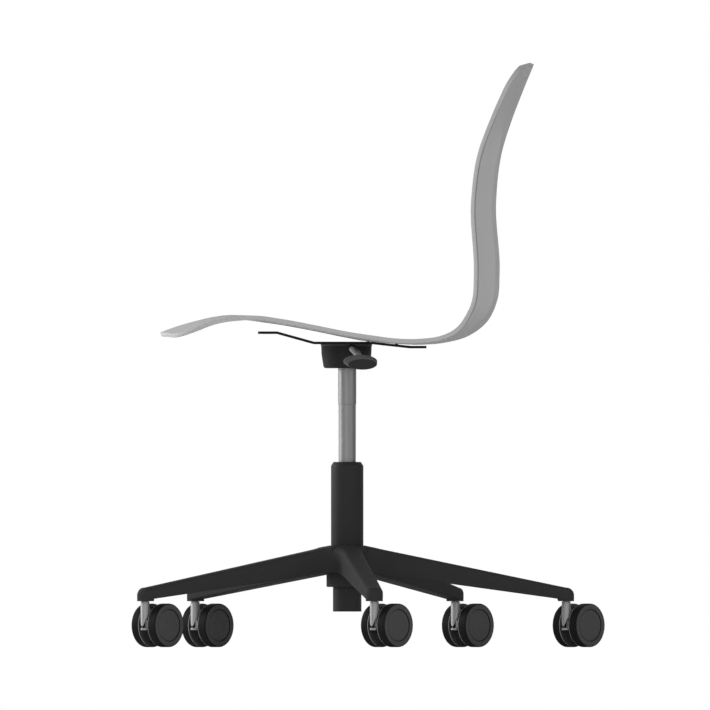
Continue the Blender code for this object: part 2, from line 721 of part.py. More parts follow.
def fastener_hole_mesh(name, length):
    """Make the hole for a countersunk fastener, clear of it all round."""
    profile = (
        (0.0, FASTENER_HEAD_HEIGHT),
        (FASTENER_HEAD_RADIUS + SEAT_GAP, FASTENER_HEAD_HEIGHT),
        (FASTENER_HEAD_RADIUS + SEAT_GAP, -SEAT_GAP),
        (FASTENER_RADIUS + SEAT_GAP, -FASTENER_HEAD_HEIGHT - SEAT_GAP),
        (FASTENER_RADIUS + SEAT_GAP, -length - SEAT_GAP),
        (0.0, -length - SEAT_GAP),
    )
    return turned_mesh(name, profile, SMALL_STEPS)


def make_fasteners(parent):
    bolt = fastener_mesh("housing_bolt", BOLT_LENGTH)
    for index, matrix in enumerate(bolt_places()):
        place_part(f"housing_bolt_{index + 1}", bolt, STEEL, parent, matrix.translation)
    screw = fastener_mesh("shell_screw", SCREW_LENGTH)
    for index, matrix in enumerate(screw_places()):
        name = f"shell_screw_{index + 1}"
        place_part(name, screw, STEEL, parent, matrix.translation, matrix.to_3x3())


def make_housing(parent, bolt_holes):
    flange_bottom = HOUSING_TOP - HOUSING_FLANGE_HEIGHT
    wall_top_radius = HOUSING_TOP_RADIUS - HOUSING_FLANGE_WIDTH
    corner = HOUSING_ROUND * (1.0 - math.sqrt(0.5))
    profile = (
        (0.0, HOUSING_FLOOR_TOP),
        (HOUSING_BOTTOM_RADIUS - HOUSING_WALL, HOUSING_FLOOR_TOP),
        (HOUSING_TOP_RADIUS - HOUSING_WALL, HOUSING_TOP),
        (HOUSING_TOP_RADIUS, HOUSING_TOP),
        (HOUSING_TOP_RADIUS, flange_bottom),
        (wall_top_radius, flange_bottom),
        (HOUSING_MIDDLE_RADIUS, HOUSING_TOP - HOUSING_MIDDLE_DROP),
        (HOUSING_BOTTOM_RADIUS, HOUSING_BOTTOM + HOUSING_ROUND),
        (HOUSING_BOTTOM_RADIUS - corner, HOUSING_BOTTOM + corner),
        (HOUSING_BOTTOM_RADIUS - HOUSING_ROUND, HOUSING_BOTTOM),
        (0.0, HOUSING_BOTTOM),
    )
    mesh = turned_mesh("mechanism_housing", profile, ROUND_STEPS)
    shift = (HOUSING_SHIFT, 0.0, 0.0)
    housing = place_part("mechanism_housing", mesh, BLACK_HOUSING, parent, shift)
    hole = rod_mesh("socket_hole", SOCKET_OUTER_RADIUS + SEAT_GAP, 4 * HOUSING_FLOOR, ROUND_STEPS)
    hole_place = Matrix.Translation((0.0, 0.0, HOUSING_BOTTOM))
    combine(housing, place_cutter("lift_socket_hole", hole, hole_place), "DIFFERENCE")

    sunk = HOUSING_FLOOR / 2
    boss_height = HOUSING_TOP - HOUSING_FLOOR_TOP + sunk
    boss_middle = HOUSING_TOP - boss_height / 2
    boss = rod_mesh("bolt_boss", BOLT_BOSS_RADIUS, boss_height, SMALL_STEPS)
    matrices = []
    for place in bolt_places():
        matrices.append(Matrix.Translation((place.translation.x, place.translation.y, boss_middle)))
    bosses = place_cutter("bolt_bosses", repeated_mesh("bolt_bosses", boss, matrices))
    combine(housing, bosses, "UNION")

    lug_bottom = HOUSING_FLOOR_TOP - sunk
    lug_top = LEVER_PIVOT.z + LEVER_EYE_RADIUS
    lug_offset = LEVER_EYE_RADIUS + LEVER_SIDE_GAP + LEVER_LUG_THICKNESS / 2
    lug = box_mesh(
        "lever_lug",
        (LEVER_LUG_THICKNESS, LEVER_LUG_DEPTH, lug_top - lug_bottom),
        (LEVER_PIVOT.x, LEVER_PIVOT.y, (lug_top + lug_bottom) / 2),
    )
    matrices = [Matrix.Translation((offset, 0.0, 0.0)) for offset in (-lug_offset, lug_offset)]
    lugs = place_cutter("lever_lugs", repeated_mesh("lever_lugs", lug, matrices))
    combine(housing, lugs, "UNION")
    combine(housing, bolt_holes, "DIFFERENCE")

    pin_span = 2 * lug_offset + 2 * LEVER_LUG_THICKNESS
    pin_hole = rod_mesh("pin_hole", LEVER_PIN_RADIUS + RUNNING_GAP, pin_span, SMALL_STEPS)
    matrix = Matrix.Translation(LEVER_PIVOT) @ along_x()
    combine(housing, place_cutter("pin_hole", pin_hole, matrix), "DIFFERENCE")

    exit_x = LEVER_PIVOT.x + LEVER_ROUTE[3][0]
    slot_width = 2 * (LEVER_ROD_RADIUS + LEVER_SLOT_CLEARANCE)
    slot_bottom = LEVER_PIVOT.z - LEVER_ROD_RADIUS - LEVER_SLOT_CLEARANCE
    slot_top = HOUSING_TOP + LEVER_SLOT_CLEARANCE
    slot_depth = 4 * HOUSING_WALL
    slot = box_mesh(
        "lever_slot",
        (slot_width, slot_depth, slot_top - slot_bottom),
        (exit_x, -HOUSING_TOP_RADIUS, (slot_top + slot_bottom) / 2),
    )
    combine(housing, place_cutter("lever_slot", slot), "DIFFERENCE")

    pin_length = 2 * LEVER_EYE_RADIUS + 2 * LEVER_SIDE_GAP + 2 * LEVER_LUG_THICKNESS
    pin = rod_mesh("lever_pin", LEVER_PIN_RADIUS, pin_length, SMALL_STEPS)
    place_part("lever_pin", pin, STEEL, parent, LEVER_PIVOT, along_x().to_3x3())


def make_paddle_mesh():
    """Make the oval paddle about the middle of its upper face, tilted up towards the hand."""
    shape = bmesh.new()
    bmesh.ops.create_cone(
        shape,
        cap_ends=True,
        segments=ROUND_STEPS,
        radius1=PADDLE_HALF_LENGTH * PADDLE_TAPER,
        radius2=PADDLE_HALF_LENGTH,
        depth=PADDLE_THICKNESS,
    )
    rims = [edge for edge in shape.edges if abs(edge.verts[0].co.z - edge.verts[1].co.z) < MERGE_DISTANCE]
    bmesh.ops.bevel(
        shape, geom=rims, offset=PADDLE_EDGE_ROUND, segments=2, profile=0.5, affect="EDGES"
    )
    for vertex in shape.verts:
        below_top = PADDLE_THICKNESS / 2 - vertex.co.z
        vertex.co.x += PADDLE_LEAN * below_top / PADDLE_THICKNESS
        vertex.co.y *= PADDLE_HALF_DEPTH / PADDLE_HALF_LENGTH
        vertex.co.z = -below_top
    turn = Matrix.Rotation(-PADDLE_TILT, 3, "X")
    bmesh.ops.rotate(shape, verts=shape.verts, cent=(0.0, 0.0, 0.0), matrix=turn)
    return mesh_from(shape, "lever_paddle")


def make_lever(parent):
    rod = tube_mesh("lever_rod", LEVER_ROUTE, LEVER_ROD_RADIUS)
    rod_part = place_part("lever_rod", rod, BLACK_PLASTIC, parent)
    eye_length = 2 * LEVER_EYE_RADIUS
    eye = place_cutter(
        "lever_eye",
        rod_mesh("lever_eye", LEVER_EYE_RADIUS, eye_length, ROUND_STEPS),
        Matrix.Translation(LEVER_PIVOT) @ along_x(),
    )
    combine(rod_part, eye, "UNION")
    pin_hole = place_cutter(
        "lever_eye_hole",
        rod_mesh("lever_eye_hole", LEVER_PIN_RADIUS + RUNNING_GAP, 2 * eye_length, SMALL_STEPS),
        Matrix.Translation(LEVER_PIVOT) @ along_x(),
    )
    combine(rod_part, pin_hole, "DIFFERENCE")

    rod_end = Vector(LEVER_ROUTE[-1][:3])
    run = rod_end - Vector(LEVER_ROUTE[-2][:3])
    paddle_centre = rod_end - run.normalized() * ROD_SEAT_DEPTH
    paddle = place_part("lever_paddle", make_paddle_mesh(), BLACK_PLASTIC, parent, paddle_centre)
    last = LEVER_ROUTE[-1]
    stretch = run.normalized() * SEAT_GAP
    longer = (last[0] + stretch.x, last[1] + stretch.y, last[2] + stretch.z, last[3])
    wider = LEVER_ROD_RADIUS + SEAT_GAP
    seat_mesh = tube_mesh("rod_seat", LEVER_ROUTE[:-1] + (longer,), wider)
    seat = place_cutter("rod_seat", seat_mesh, Matrix.Translation(LEVER_PIVOT))
    combine(paddle, seat, "DIFFERENCE")


def make_seat_plate(parent, bolt_holes, screw_holes):
    shape = bmesh.new()
    last = len(PLATE_LINE) - 1
    bmesh.ops.create_grid(shape, x_segments=last, y_segments=2, size=1.0)
    for vertex in shape.verts:
        x, height = PLATE_LINE[round((vertex.co.x + 1.0) / 2.0 * last)]
        vertex.co = (x, vertex.co.y * PLATE_HALF_WIDTH, height)
    corners = [vertex for vertex in shape.verts if len(vertex.link_edges) == 2]
    bmesh.ops.bevel(
        shape, geom=corners, offset=PLATE_CORNER, segments=4, profile=0.5, affect="VERTICES"
    )
    plate = place_part("seat_plate", mesh_from(shape, "seat_plate"), BLACK_STEEL, parent)
    solidify = plate.modifiers.new("thickness", "SOLIDIFY")
    solidify.thickness = PLATE_THICKNESS
    solidify.offset = 0.0
    solidify.use_even_offset = True
    combine(plate, bolt_holes, "DIFFERENCE")
    combine(plate, screw_holes, "DIFFERENCE")


def station_lengths():
    """Return how far along the shell's middle line each station lies."""
    stations = np.array(SHELL_STATIONS)
    steps = np.linalg.norm(np.diff(stations[:, :2], axis=0), axis=1)
    return np.concatenate(([0.0], np.cumsum(steps)))


def shell_station(distance):
    """Return the station values at a distance along the middle line, on a smooth curve through them."""
    stations = np.array(SHELL_STATIONS)
    lengths = station_lengths()
    slopes = np.gradient(stations, lengths, axis=0)
    index = int(np.clip(np.searchsorted(lengths, distance) - 1, 0, len(lengths) - 2))
    span = lengths[index + 1] - lengths[index]
    t = (distance - lengths[index]) / span
    start = stations[index] * (2 * t**3 - 3 * t**2 + 1) + slopes[index] * span * (t**3 - 2 * t**2 + t)
    end = stations[index + 1] * (3 * t**2 - 2 * t**3) + slopes[index + 1] * span * (t**3 - t**2)
    return start + end


def eased(distance, marks):
    """Return a value at a distance along the middle line, easing between marks of a station and its value."""
    lengths = station_lengths()
    places = [(lengths[station], value) for station, value in marks]
    for (start, first), (end, second) in zip(places, places[1:]):
        if distance <= end:
            share = (distance - start) / (end - start)
            return first + (second - first) * share**2 * (3.0 - 2.0 * share)
    return places[-1][1]


def dish_share(distance, across):
    """Return how much of the side edge's offset is reached at a share of the half width."""
    round_dish = across**SHELL_DISH_POWER
    bulge = eased(distance, BACK_BULGES)
    if across < FLANK_START:
        flanked = bulge * (across / FLANK_START) ** 2
    else:
        flanked = bulge + (1.0 - bulge) * (across - FLANK_START) / (1.0 - FLANK_START)
    return round_dish + (flanked - round_dish) * eased(distance, FLANK_FORMING)


def shell_row_distances(total):
    """Return where the shell's rows lie, closer together round the corners of both ends."""
    angles = [step * math.pi / 2 / SHELL_CORNER_ROWS for step in range(SHELL_CORNER_ROWS)]
    front = [FRONT_CORNER_RADIUS * (1.0 - math.cos(angle)) for angle in angles]
    top = [total - TOP_CORNER_RADIUS * (1.0 - math.cos(angle)) for angle in reversed(angles)]
    body = np.linspace(FRONT_CORNER_RADIUS, total - TOP_CORNER_RADIUS, SHELL_ROWS)
    return front + list(body) + top


def corner_inset(distance, radius):
    """Return how far a rounded corner draws the side in, at a distance from the end."""
    if distance >= radius:
        return 0.0
    return radius - math.sqrt(radius**2 - (radius - distance) ** 2)


def shell_point(distance, total, across):
    x, height, edge_x, edge_z = shell_station(distance)
    half_width = eased(distance, SHELL_WIDTHS)
    inset = corner_inset(distance, FRONT_CORNER_RADIUS) + corner_inset(total - distance, TOP_CORNER_RADIUS)
    side = across * (half_width - inset)
    share = dish_share(distance, abs(side) / half_width)
    return x + edge_x * share, side, PLATE_TOP + height + edge_z * share


def make_shell(parent, screw_holes):
    total = station_lengths()[-1]
    rows = shell_row_distances(total)
    shape = bmesh.new()
    bmesh.ops.create_grid(shape, x_segments=len(rows) - 1, y_segments=SHELL_COLUMNS, size=1.0)
    for vertex in shape.verts:
        row = round((vertex.co.x + 1.0) / 2.0 * (len(rows) - 1))
        vertex.co = shell_point(rows[row], total, vertex.co.y)
    shell = place_part("seat_shell", mesh_from(shape, "seat_shell"), GREY_SHELL, parent)
    solidify = shell.modifiers.new("thickness", "SOLIDIFY")
    solidify.thickness = SHELL_THICKNESS
    solidify.offset = 1.0
    solidify.use_even_offset = True
    combine(shell, screw_holes, "DIFFERENCE")


def make_fork_mesh():
    """Make a caster fork about its stem's axis; it trails along +X and its axle runs along Y."""
    stem_top = CASTER_HEIGHT + STEM_LENGTH
    profile = (
        (0.0, stem_top),
        (STEM_RADIUS - STEM_CHAMFER, stem_top),
        (STEM_RADIUS, stem_top - STEM_CHAMFER),
        (STEM_RADIUS, CASTER_HEIGHT),
        (FORK_BARREL_RADIUS, CASTER_HEIGHT),
        (FORK_BARREL_RADIUS, FORK_FOOT_BOTTOM),
        (0.0, FORK_FOOT_BOTTOM),
    )
    barrel = turned_mesh("fork_barrel", profile, ROUND_STEPS)
    fork = place_cutter("caster_fork", barrel)

    notch = bmesh.new()
    bmesh.ops.create_cube(notch, size=1.0)
    for vertex in notch.verts:
        at_rear = vertex.co.x > 0.0
        high = FORK_NOTCH_TOP if at_rear else FORK_NOTCH_BOTTOM + SEAT_GAP
        vertex.co.x = 2 * FORK_BARREL_RADIUS if at_rear else FORK_TONGUE - FORK_BARREL_RADIUS
        vertex.co.y = math.copysign(2 * FORK_BARREL_RADIUS, vertex.co.y)
        vertex.co.z = high if vertex.co.z > 0.0 else FORK_NOTCH_BOTTOM
    combine(fork, place_cutter("fork_notch", mesh_from(notch, "fork_notch")), "DIFFERENCE")

    arm = bmesh.new()
    bmesh.ops.create_cube(arm, size=1.0)
    for vertex in arm.verts:
        at_axle = vertex.co.x > 0.0
        high = WHEEL_RADIUS + FORK_ARM_END_HALF_HEIGHT if at_axle else FORK_ARM_ROOT_TOP
        low = WHEEL_RADIUS - FORK_ARM_END_HALF_HEIGHT if at_axle else FORK_ARM_ROOT_BOTTOM
        vertex.co.x = CASTER_TRAIL if at_axle else 0.0
        vertex.co.y = math.copysign(FORK_ARM_THICKNESS / 2, vertex.co.y)
        vertex.co.z = high if vertex.co.z > 0.0 else low
    combine(fork, place_cutter("fork_arm", mesh_from(arm, "fork_arm")), "UNION")

    axle_place = Matrix.Translation((CASTER_TRAIL, 0.0, WHEEL_RADIUS)) @ along_y()
    boss_length = WHEEL_SPACE - 2 * RUNNING_GAP
    boss = rod_mesh("axle_boss", AXLE_BOSS_RADIUS, boss_length, SMALL_STEPS)
    combine(fork, place_cutter("axle_boss", boss, axle_place), "UNION")
    hole = rod_mesh("axle_hole", AXLE_RADIUS + SEAT_GAP, 2 * WHEEL_SPACE, SMALL_STEPS)
    combine(fork, place_cutter("axle_hole", hole, axle_place), "DIFFERENCE")
    return evaluated_mesh(fork, "caster_fork")


def make_wheel_mesh():
    """Make a wheel about Z, its outer face up, with a flat facet on each side of its rim."""
    rim = WHEEL_RADIUS / math.cos(math.pi / ROUND_STEPS)
    top = WHEEL_WIDTH / 2
    bottom = -WHEEL_WIDTH / 2
    floor = top - WHEEL_RECESS_DEPTH
    bore = AXLE_RADIUS + RUNNING_GAP
    recess = WHEEL_CAP_RADIUS + SEAT_GAP
    shoulder = WHEEL_OUTER_ROUND * (1.0 - math.sqrt(0.5))
    profile = (
        (bore, floor),
        (recess, floor),
        (recess, top),
        (rim - WHEEL_OUTER_ROUND, top),
        (rim - shoulder, top - shoulder),
        (rim, top - WHEEL_OUTER_ROUND),
        (rim, bottom + WHEEL_INNER_CHAMFER),
        (rim - WHEEL_INNER_CHAMFER, bottom),
        (bore, bottom),
    )
    return turned_mesh("caster_wheel", profile, ROUND_STEPS, closed=True)


def make_cap_mesh():
    top = WHEEL_WIDTH / 2
    floor = top - WHEEL_RECESS_DEPTH + SEAT_GAP
    profile = (
        (0.0, top),
        (WHEEL_CAP_RADIUS - WHEEL_CAP_BEVEL, top),
        (WHEEL_CAP_RADIUS, top - WHEEL_CAP_BEVEL),
        (WHEEL_CAP_RADIUS, floor),
        (0.0, floor),
    )
    return turned_mesh("wheel_cap", profile, ROUND_STEPS)


def wheel_turn(side):
    """Turn a wheel to face along Y on one side, with one of its facets flat on the floor."""
    outward = Vector((0.0, side, 0.0))
    down = Vector((0.0, 0.0, -1.0))
    forward = outward.cross(down)
    facing = Matrix((down, forward, outward)).transposed()
    return facing @ Matrix.Rotation(-math.pi / ROUND_STEPS, 3, "Z")


def make_casters(base):
    sleeve_profile = (
        (STEM_BORE_RADIUS, SOCKET_SLEEVE_LENGTH),
        (SOCKET_SLEEVE_RADIUS, SOCKET_SLEEVE_LENGTH),
        (SOCKET_SLEEVE_RADIUS, 0.0),
        (STEM_BORE_RADIUS, 0.0),
    )
    sleeve = turned_mesh("caster_socket", sleeve_profile, SMALL_STEPS, closed=True)
    fork = make_fork_mesh()
    wheel = make_wheel_mesh()
    cap = make_cap_mesh()
    axle_length = WHEEL_SPACE + 2 * WHEEL_WIDTH - 2 * WHEEL_RECESS_DEPTH
    axle = rod_mesh("caster_axle", AXLE_RADIUS, axle_length, SMALL_STEPS)
    for index, place in enumerate(stem_places()):
        number = index + 1
        socket_place = (place.x, place.y, TIP_BOTTOM)
        place_part(f"caster_socket_{number}", sleeve, STEEL, base, socket_place)
        swivel = new_empty(f"caster_swivel_{number}", place, CASTER_YAW)
        place_part(f"caster_fork_{number}", fork, ALUMINIUM, swivel)
        axle_place = (CASTER_TRAIL, 0.0, WHEEL_RADIUS)
        place_part(f"caster_axle_{number}", axle, STEEL, swivel, axle_place, along_y().to_3x3())
        for side_name, side in (("near", -1.0), ("far", 1.0)):
            hub = (CASTER_TRAIL, side * WHEEL_HALF_OFFSET, WHEEL_RADIUS)
            turn = wheel_turn(side)
            place_part(f"caster_wheel_{number}_{side_name}", wheel, BLACK_WHEEL, swivel, hub, turn)
            place_part(f"wheel_cap_{number}_{side_name}", cap, BLACK_PLASTIC, swivel, hub, turn)


def main():
    base = new_empty("base_axis", (0.0, 0.0, 0.0))
    spindle = new_empty("swivel_axis", (0.0, 0.0, 0.0))
    seat = new_empty("seat_axis", (0.0, 0.0, 0.0))
    lever = new_empty("lever_axis", LEVER_PIVOT)
    bolt_hole = fastener_hole_mesh("bolt_hole", BOLT_LENGTH)
    bolt_holes = place_cutter("bolt_holes", repeated_mesh("bolt_holes", bolt_hole, bolt_places()))
    screw_hole = fastener_hole_mesh("screw_hole", SCREW_LENGTH)
    screw_holes = place_cutter("screw_holes", repeated_mesh("screw_holes", screw_hole, screw_places()))
    make_star_base(base)
    make_column(base)
    make_casters(base)
    make_spindle(spindle)
    make_gas_cylinder(seat)
    make_lift_socket(seat)
    make_housing(seat, bolt_holes)
    make_seat_plate(seat, bolt_holes, screw_holes)
    make_fasteners(seat)
    make_shell(seat, screw_holes)
    make_release_button(seat)
    make_lever(lever)


clear_scene()
PARTS = new_collection("swivel_chair")
CUTTERS = new_collection("swivel_chair_cutters")
GREY_SHELL = new_material("grey_polypropylene", (0.38, 0.38, 0.385), 0.55, 0.0)
BLACK_BASE = new_material("black_reinforced_nylon", (0.035, 0.035, 0.036), 0.5, 0.0)
BLACK_STEEL = new_material("black_powder_coated_steel", (0.03, 0.03, 0.031), 0.5, 0.0)
BLACK_HOUSING = new_material("black_cast_housing", (0.035, 0.035, 0.036), 0.5, 0.0)
BLACK_PLASTIC = new_material("black_moulded_plastic", (0.045, 0.045, 0.046), 0.45, 0.0)
BLACK_WHEEL = new_material("black_wheel_plastic", (0.04, 0.04, 0.041), 0.5, 0.0)
RUBBER = new_material("black_rubber", (0.02, 0.02, 0.02), 0.8, 0.0)
CHROME = new_material("chromed_steel", (0.62, 0.62, 0.63), 0.2, 1.0)
STEEL = new_material("plain_steel", (0.55, 0.55, 0.56), 0.35, 1.0)
ALUMINIUM = new_material("cast_aluminium", (0.6, 0.6, 0.61), 0.4, 1.0)
main()
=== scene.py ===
"""Looks of a swivel chair: a moulded shell on a gas lift, a five-legged base and twin-wheel casters.

Units are metres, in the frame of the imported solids. +Z is up, the floor is z = 0 and the column's axis
is Z. The chair faces -X, and its height lever is on the -Y side, towards the camera.
"""
import json
import math

import bmesh
import bpy
import numpy as np
from mathutils import Matrix, Vector

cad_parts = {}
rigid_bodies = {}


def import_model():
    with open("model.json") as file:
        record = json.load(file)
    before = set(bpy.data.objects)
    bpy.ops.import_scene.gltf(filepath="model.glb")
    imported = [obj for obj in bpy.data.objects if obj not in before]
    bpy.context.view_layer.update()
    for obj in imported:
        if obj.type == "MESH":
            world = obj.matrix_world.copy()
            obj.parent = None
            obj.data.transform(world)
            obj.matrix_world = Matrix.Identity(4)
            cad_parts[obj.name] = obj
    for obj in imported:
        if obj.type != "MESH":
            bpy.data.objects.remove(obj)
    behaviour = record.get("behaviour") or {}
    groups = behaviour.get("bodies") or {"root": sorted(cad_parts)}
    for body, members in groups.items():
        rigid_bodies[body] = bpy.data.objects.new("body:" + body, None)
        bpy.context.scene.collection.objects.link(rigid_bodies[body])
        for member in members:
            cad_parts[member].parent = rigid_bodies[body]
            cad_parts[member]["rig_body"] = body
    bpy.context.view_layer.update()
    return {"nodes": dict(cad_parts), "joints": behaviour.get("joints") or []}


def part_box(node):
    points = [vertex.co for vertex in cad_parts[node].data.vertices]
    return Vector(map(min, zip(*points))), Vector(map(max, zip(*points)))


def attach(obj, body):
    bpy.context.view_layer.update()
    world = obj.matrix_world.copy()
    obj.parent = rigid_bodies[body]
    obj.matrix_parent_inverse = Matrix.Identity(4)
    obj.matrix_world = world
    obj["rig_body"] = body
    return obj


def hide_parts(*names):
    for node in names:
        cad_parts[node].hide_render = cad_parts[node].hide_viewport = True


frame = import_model()
NODES = frame["nodes"]
JOINTS = {joint["name"]: joint for joint in frame["joints"]}
FASTENERS = [node for node in NODES if node.startswith(("housing_bolt", "shell_screw"))]

MM = 0.001

# Photograph: pixels across, size of a pixel on the object, column's axis and floor in pixels
PHOTO_PIXELS = 710
PIXEL = 1.541 * MM
COLUMN_PIXEL = 347.2
FLOOR_PIXEL = 647.17

# Fineness of the meshes
ROUND_STEPS = 96
SMALL_STEPS = 48
ARC_STEPS = 6
TUBE_STEPS = 8
EDGE_STEPS = 3
MERGE_DISTANCE = 0.001 * MM
SHARP_ANGLE = math.radians(38.0)

# Room between pieces that fit together
FIT_GAP = 0.3 * MM

# Heights and radii of the solids that the pieces stand for
HUB_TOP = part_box("star_base")[1].z
TIP_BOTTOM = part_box("star_base")[0].z
COLUMN_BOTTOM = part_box("column_tube")[0].z
COLUMN_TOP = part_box("column_tube")[1].z
COLUMN_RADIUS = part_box("column_tube")[1].x
CYLINDER_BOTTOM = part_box("gas_cylinder")[0].z
CYLINDER_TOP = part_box("gas_cylinder")[1].z
HOUSING_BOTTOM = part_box("mechanism_housing")[0].z
HOUSING_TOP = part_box("mechanism_housing")[1].z
LEVER_PIVOT = Vector(JOINTS["lever_lift"]["pos_m"])
STEMS = [Vector(JOINTS[f"caster_swivel_{number}"]["pos_m"]) for number in range(1, 6)]

# Seat plate
PLATE_THICKNESS = 4.0 * MM
PLATE_HALF_WIDTH = 100 * MM
PLATE_CORNER = 14 * MM
PLATE_CORNER_STEPS = 8
PLATE_BEND = 9 * MM
PLATE_EDGE = 0.5 * MM
PLATE_EDGE_STEPS = 2
PLATE_EDGE_ANGLE = math.radians(50)
PLATE_TOP = HOUSING_TOP + FIT_GAP + PLATE_THICKNESS
PLATE_MIDDLE = PLATE_TOP - PLATE_THICKNESS / 2
PLATE_TONGUE = PLATE_MIDDLE + 15.8 * MM
PLATE_REAR = PLATE_MIDDLE - 6.4 * MM
# Plate line from front to rear: x, height of the middle of its thickness, and radius of each bend
PLATE_LINE = (
    (-137.5 * MM, PLATE_TONGUE, 0.0),
    (-108.2 * MM, PLATE_TONGUE, PLATE_BEND),
    (-51.2 * MM, PLATE_MIDDLE, PLATE_BEND),
    (38.5 * MM, PLATE_MIDDLE, PLATE_BEND),
    (96.8 * MM, PLATE_REAR, PLATE_BEND),
    (122.2 * MM, PLATE_REAR, 0.0),
)

# Seat shell
SHELL_THICKNESS = 6.8 * MM
SHELL_ROWS = 150
SHELL_COLUMNS = 28
SHELL_CORNER_ROWS = 18
SHELL_DISH_POWER = 2.2
SHELL_EDGE = 0.9 * MM
SHELL_EDGE_ANGLE = math.radians(60.0)
FRONT_CORNER_RADIUS = 46 * MM
TOP_CORNER_RADIUS = 45 * MM
RIM_GROOVE_PLACE = 2.6 * MM
RIM_GROOVE_HALF_WIDTH = 1.6 * MM
RIM_GROOVE_DEPTH = 1.0 * MM
# Underside of the shell on its middle line, as x and as height over the plate's flat top,
# then how far its side edges stand from there along X and Z
SHELL_STATIONS = (
    (-0.2861, 0.0080, 0.0332, -0.0030),
    (-0.2623, 0.0166, 0.0302, -0.0016),
    (-0.2396, 0.0233, 0.0312, 0.0016),
    (-0.1855, 0.0341, 0.0338, -0.0009),
    (-0.1196, 0.0282, 0.0197, -0.0003),
    (-0.0569, 0.0174, 0.0078, 0.0010),
    (0.0039, 0.0050, 0.0001, 0.0030),
    (0.0230, 0.0016, 0.0000, 0.0034),
    (0.0400, 0.0000, 0.0000, 0.0026),
    (0.0658, -0.0026, 0.0000, 0.0016),
    (0.1121, -0.0047, -0.0010, 0.0023),
    (0.1505, -0.0016, -0.0036, 0.0044),
    (0.1890, 0.0098, -0.0148, 0.0083),
    (0.2156, 0.0307, -0.0268, 0.0092),
    (0.2322, 0.0671, -0.0338, 0.0005),
    (0.2349, 0.1045, -0.0346, 0.0000),
    (0.2296, 0.2159, -0.0336, 0.0000),
    (0.2378, 0.2887, -0.0315, 0.0000),
    (0.2547, 0.3440, -0.0278, -0.0009),
    (0.2693, 0.3821, -0.0258, -0.0018),
    (0.2878, 0.4274, -0.0255, -0.0073),
)
STATION_VALUES = np.array(SHELL_STATIONS)
STATION_STEPS = np.linalg.norm(np.diff(STATION_VALUES[:, :2], axis=0), axis=1)
# How far along the shell's middle line each station lies, and how fast the values change there
STATION_LENGTHS = np.concatenate(([0.0], np.cumsum(STATION_STEPS)))
STATION_SLOPES = np.gradient(STATION_VALUES, STATION_LENGTHS, axis=0)
SHELL_LENGTH = STATION_LENGTHS[-1]
# Number of a station, and the shell's half width there
SHELL_WIDTHS = ((0, 0.212), (3, 0.225), (6, 0.225), (15, 0.208), (17, 0.212), (20, 0.196))
# Number of a station, and how far the round dish of the seat has given way to the flanks of the back
FLANK_FORMING = ((0, 0.0), (11, 0.0), (14, 1.0), (17, 1.0), (19, 0.0), (20, 0.0))
# Number of a station, and the bulge of the back between its flanks as a share of the side edge's offset
BACK_BULGES = ((0, 0.16), (16, 0.16), (20, 0.05))
# Number of a station, and how far the rim groove has deepened
GROOVE_FORMING = ((0, 0.0), (10, 0.0), (12, 1.0), (19, 1.0), (20, 0.0))
# Share of the half width at which the flanks start, how soft the bend there is, and how hollow they are
FLANK_START = 5 / 6
FLANK_BEND = 0.06
FLANK_BEND_COLUMNS = 5
FLANK_BEND_STEP = 0.004
FLANK_HOLLOW = 0.17

# Mechanism housing: a cup that narrows to its foot, under a plain strip whose side carries a painted
# highlight
HOUSING_STRIP = 2.5 * MM
HOUSING_STRIP_STEP = 0.6 * MM
HOUSING_STRIP_EDGE = 0.4 * MM
HOUSING_STRIP_MARGIN = 0.5 * MM
# How upright the strip's faces must be to carry the painted highlight
HOUSING_STRIP_HIGHLIGHT_FACING = 0.1
HOUSING_BELLY_RADIUS = 38.5 * MM
HOUSING_BELLY_DROP = 15.0 * MM
HOUSING_BELLY_ROUND = 60 * MM
HOUSING_FOOT_RADIUS = 35.0 * MM
HOUSING_FOOT_ROUND = 4.0 * MM
HOUSING_WALL = 3.5 * MM
HOUSING_FLOOR = 4.0 * MM
HOUSING_INNER_ROUND = 2 * MM
HOUSING_SOCKET_RADIUS = 18.1 * MM
HOUSING_CUT = 16 * MM

# Column tube
COLUMN_BORE = 20.3 * MM
COLUMN_BORE_EDGE = 0.4 * MM
COLUMN_SHOULDER_RUN = 3.9 * MM
COLUMN_SHOULDER_DROP = 6 * MM
COLUMN_SHOULDER_ROUND = 4.0 * MM
COLUMN_RIM_ROUND = 1.0 * MM
COLUMN_FOOT_RADIUS = 22 * MM
COLUMN_FOOT_EDGE = 0.6 * MM
COLUMN_FLOOR_RISE = 6 * MM
COLUMN_FLOOR = 5 * MM
COLUMN_ROD_HOLE = 4.3 * MM

# Guide sleeve
SLEEVE_SLIDE = 13.65 * MM
SLEEVE_SLIDE_LENGTH = 45 * MM
SLEEVE_MOUTH = 14.3 * MM
SLEEVE_MOUTH_EDGE = 0.8 * MM
SLEEVE_RIM_EDGE = 0.4 * MM

# Gas cylinder
CYLINDER_RADIUS = 14 * MM
CYLINDER_TAPER = 0.5 * MM
CYLINDER_TOP_EDGE = 0.3 * MM
CYLINDER_STEP_DROP = 55.5 * MM
CYLINDER_STEP_EDGE = 0.35 * MM
CYLINDER_STEP_HOLLOW = 0.25 * MM
CYLINDER_SLIDE = 13.35 * MM
CYLINDER_FOOT_EDGE = 1.0 * MM
BUTTON_BORE = 3.8 * MM
BUTTON_BORE_DEPTH = 9 * MM
CHAMBER_RADIUS = 11.8 * MM
CHAMBER_CEILING = 10 * MM
CHAMBER_FLOOR = 10 * MM
CYLINDER_ROD_HOLE = 5.3 * MM

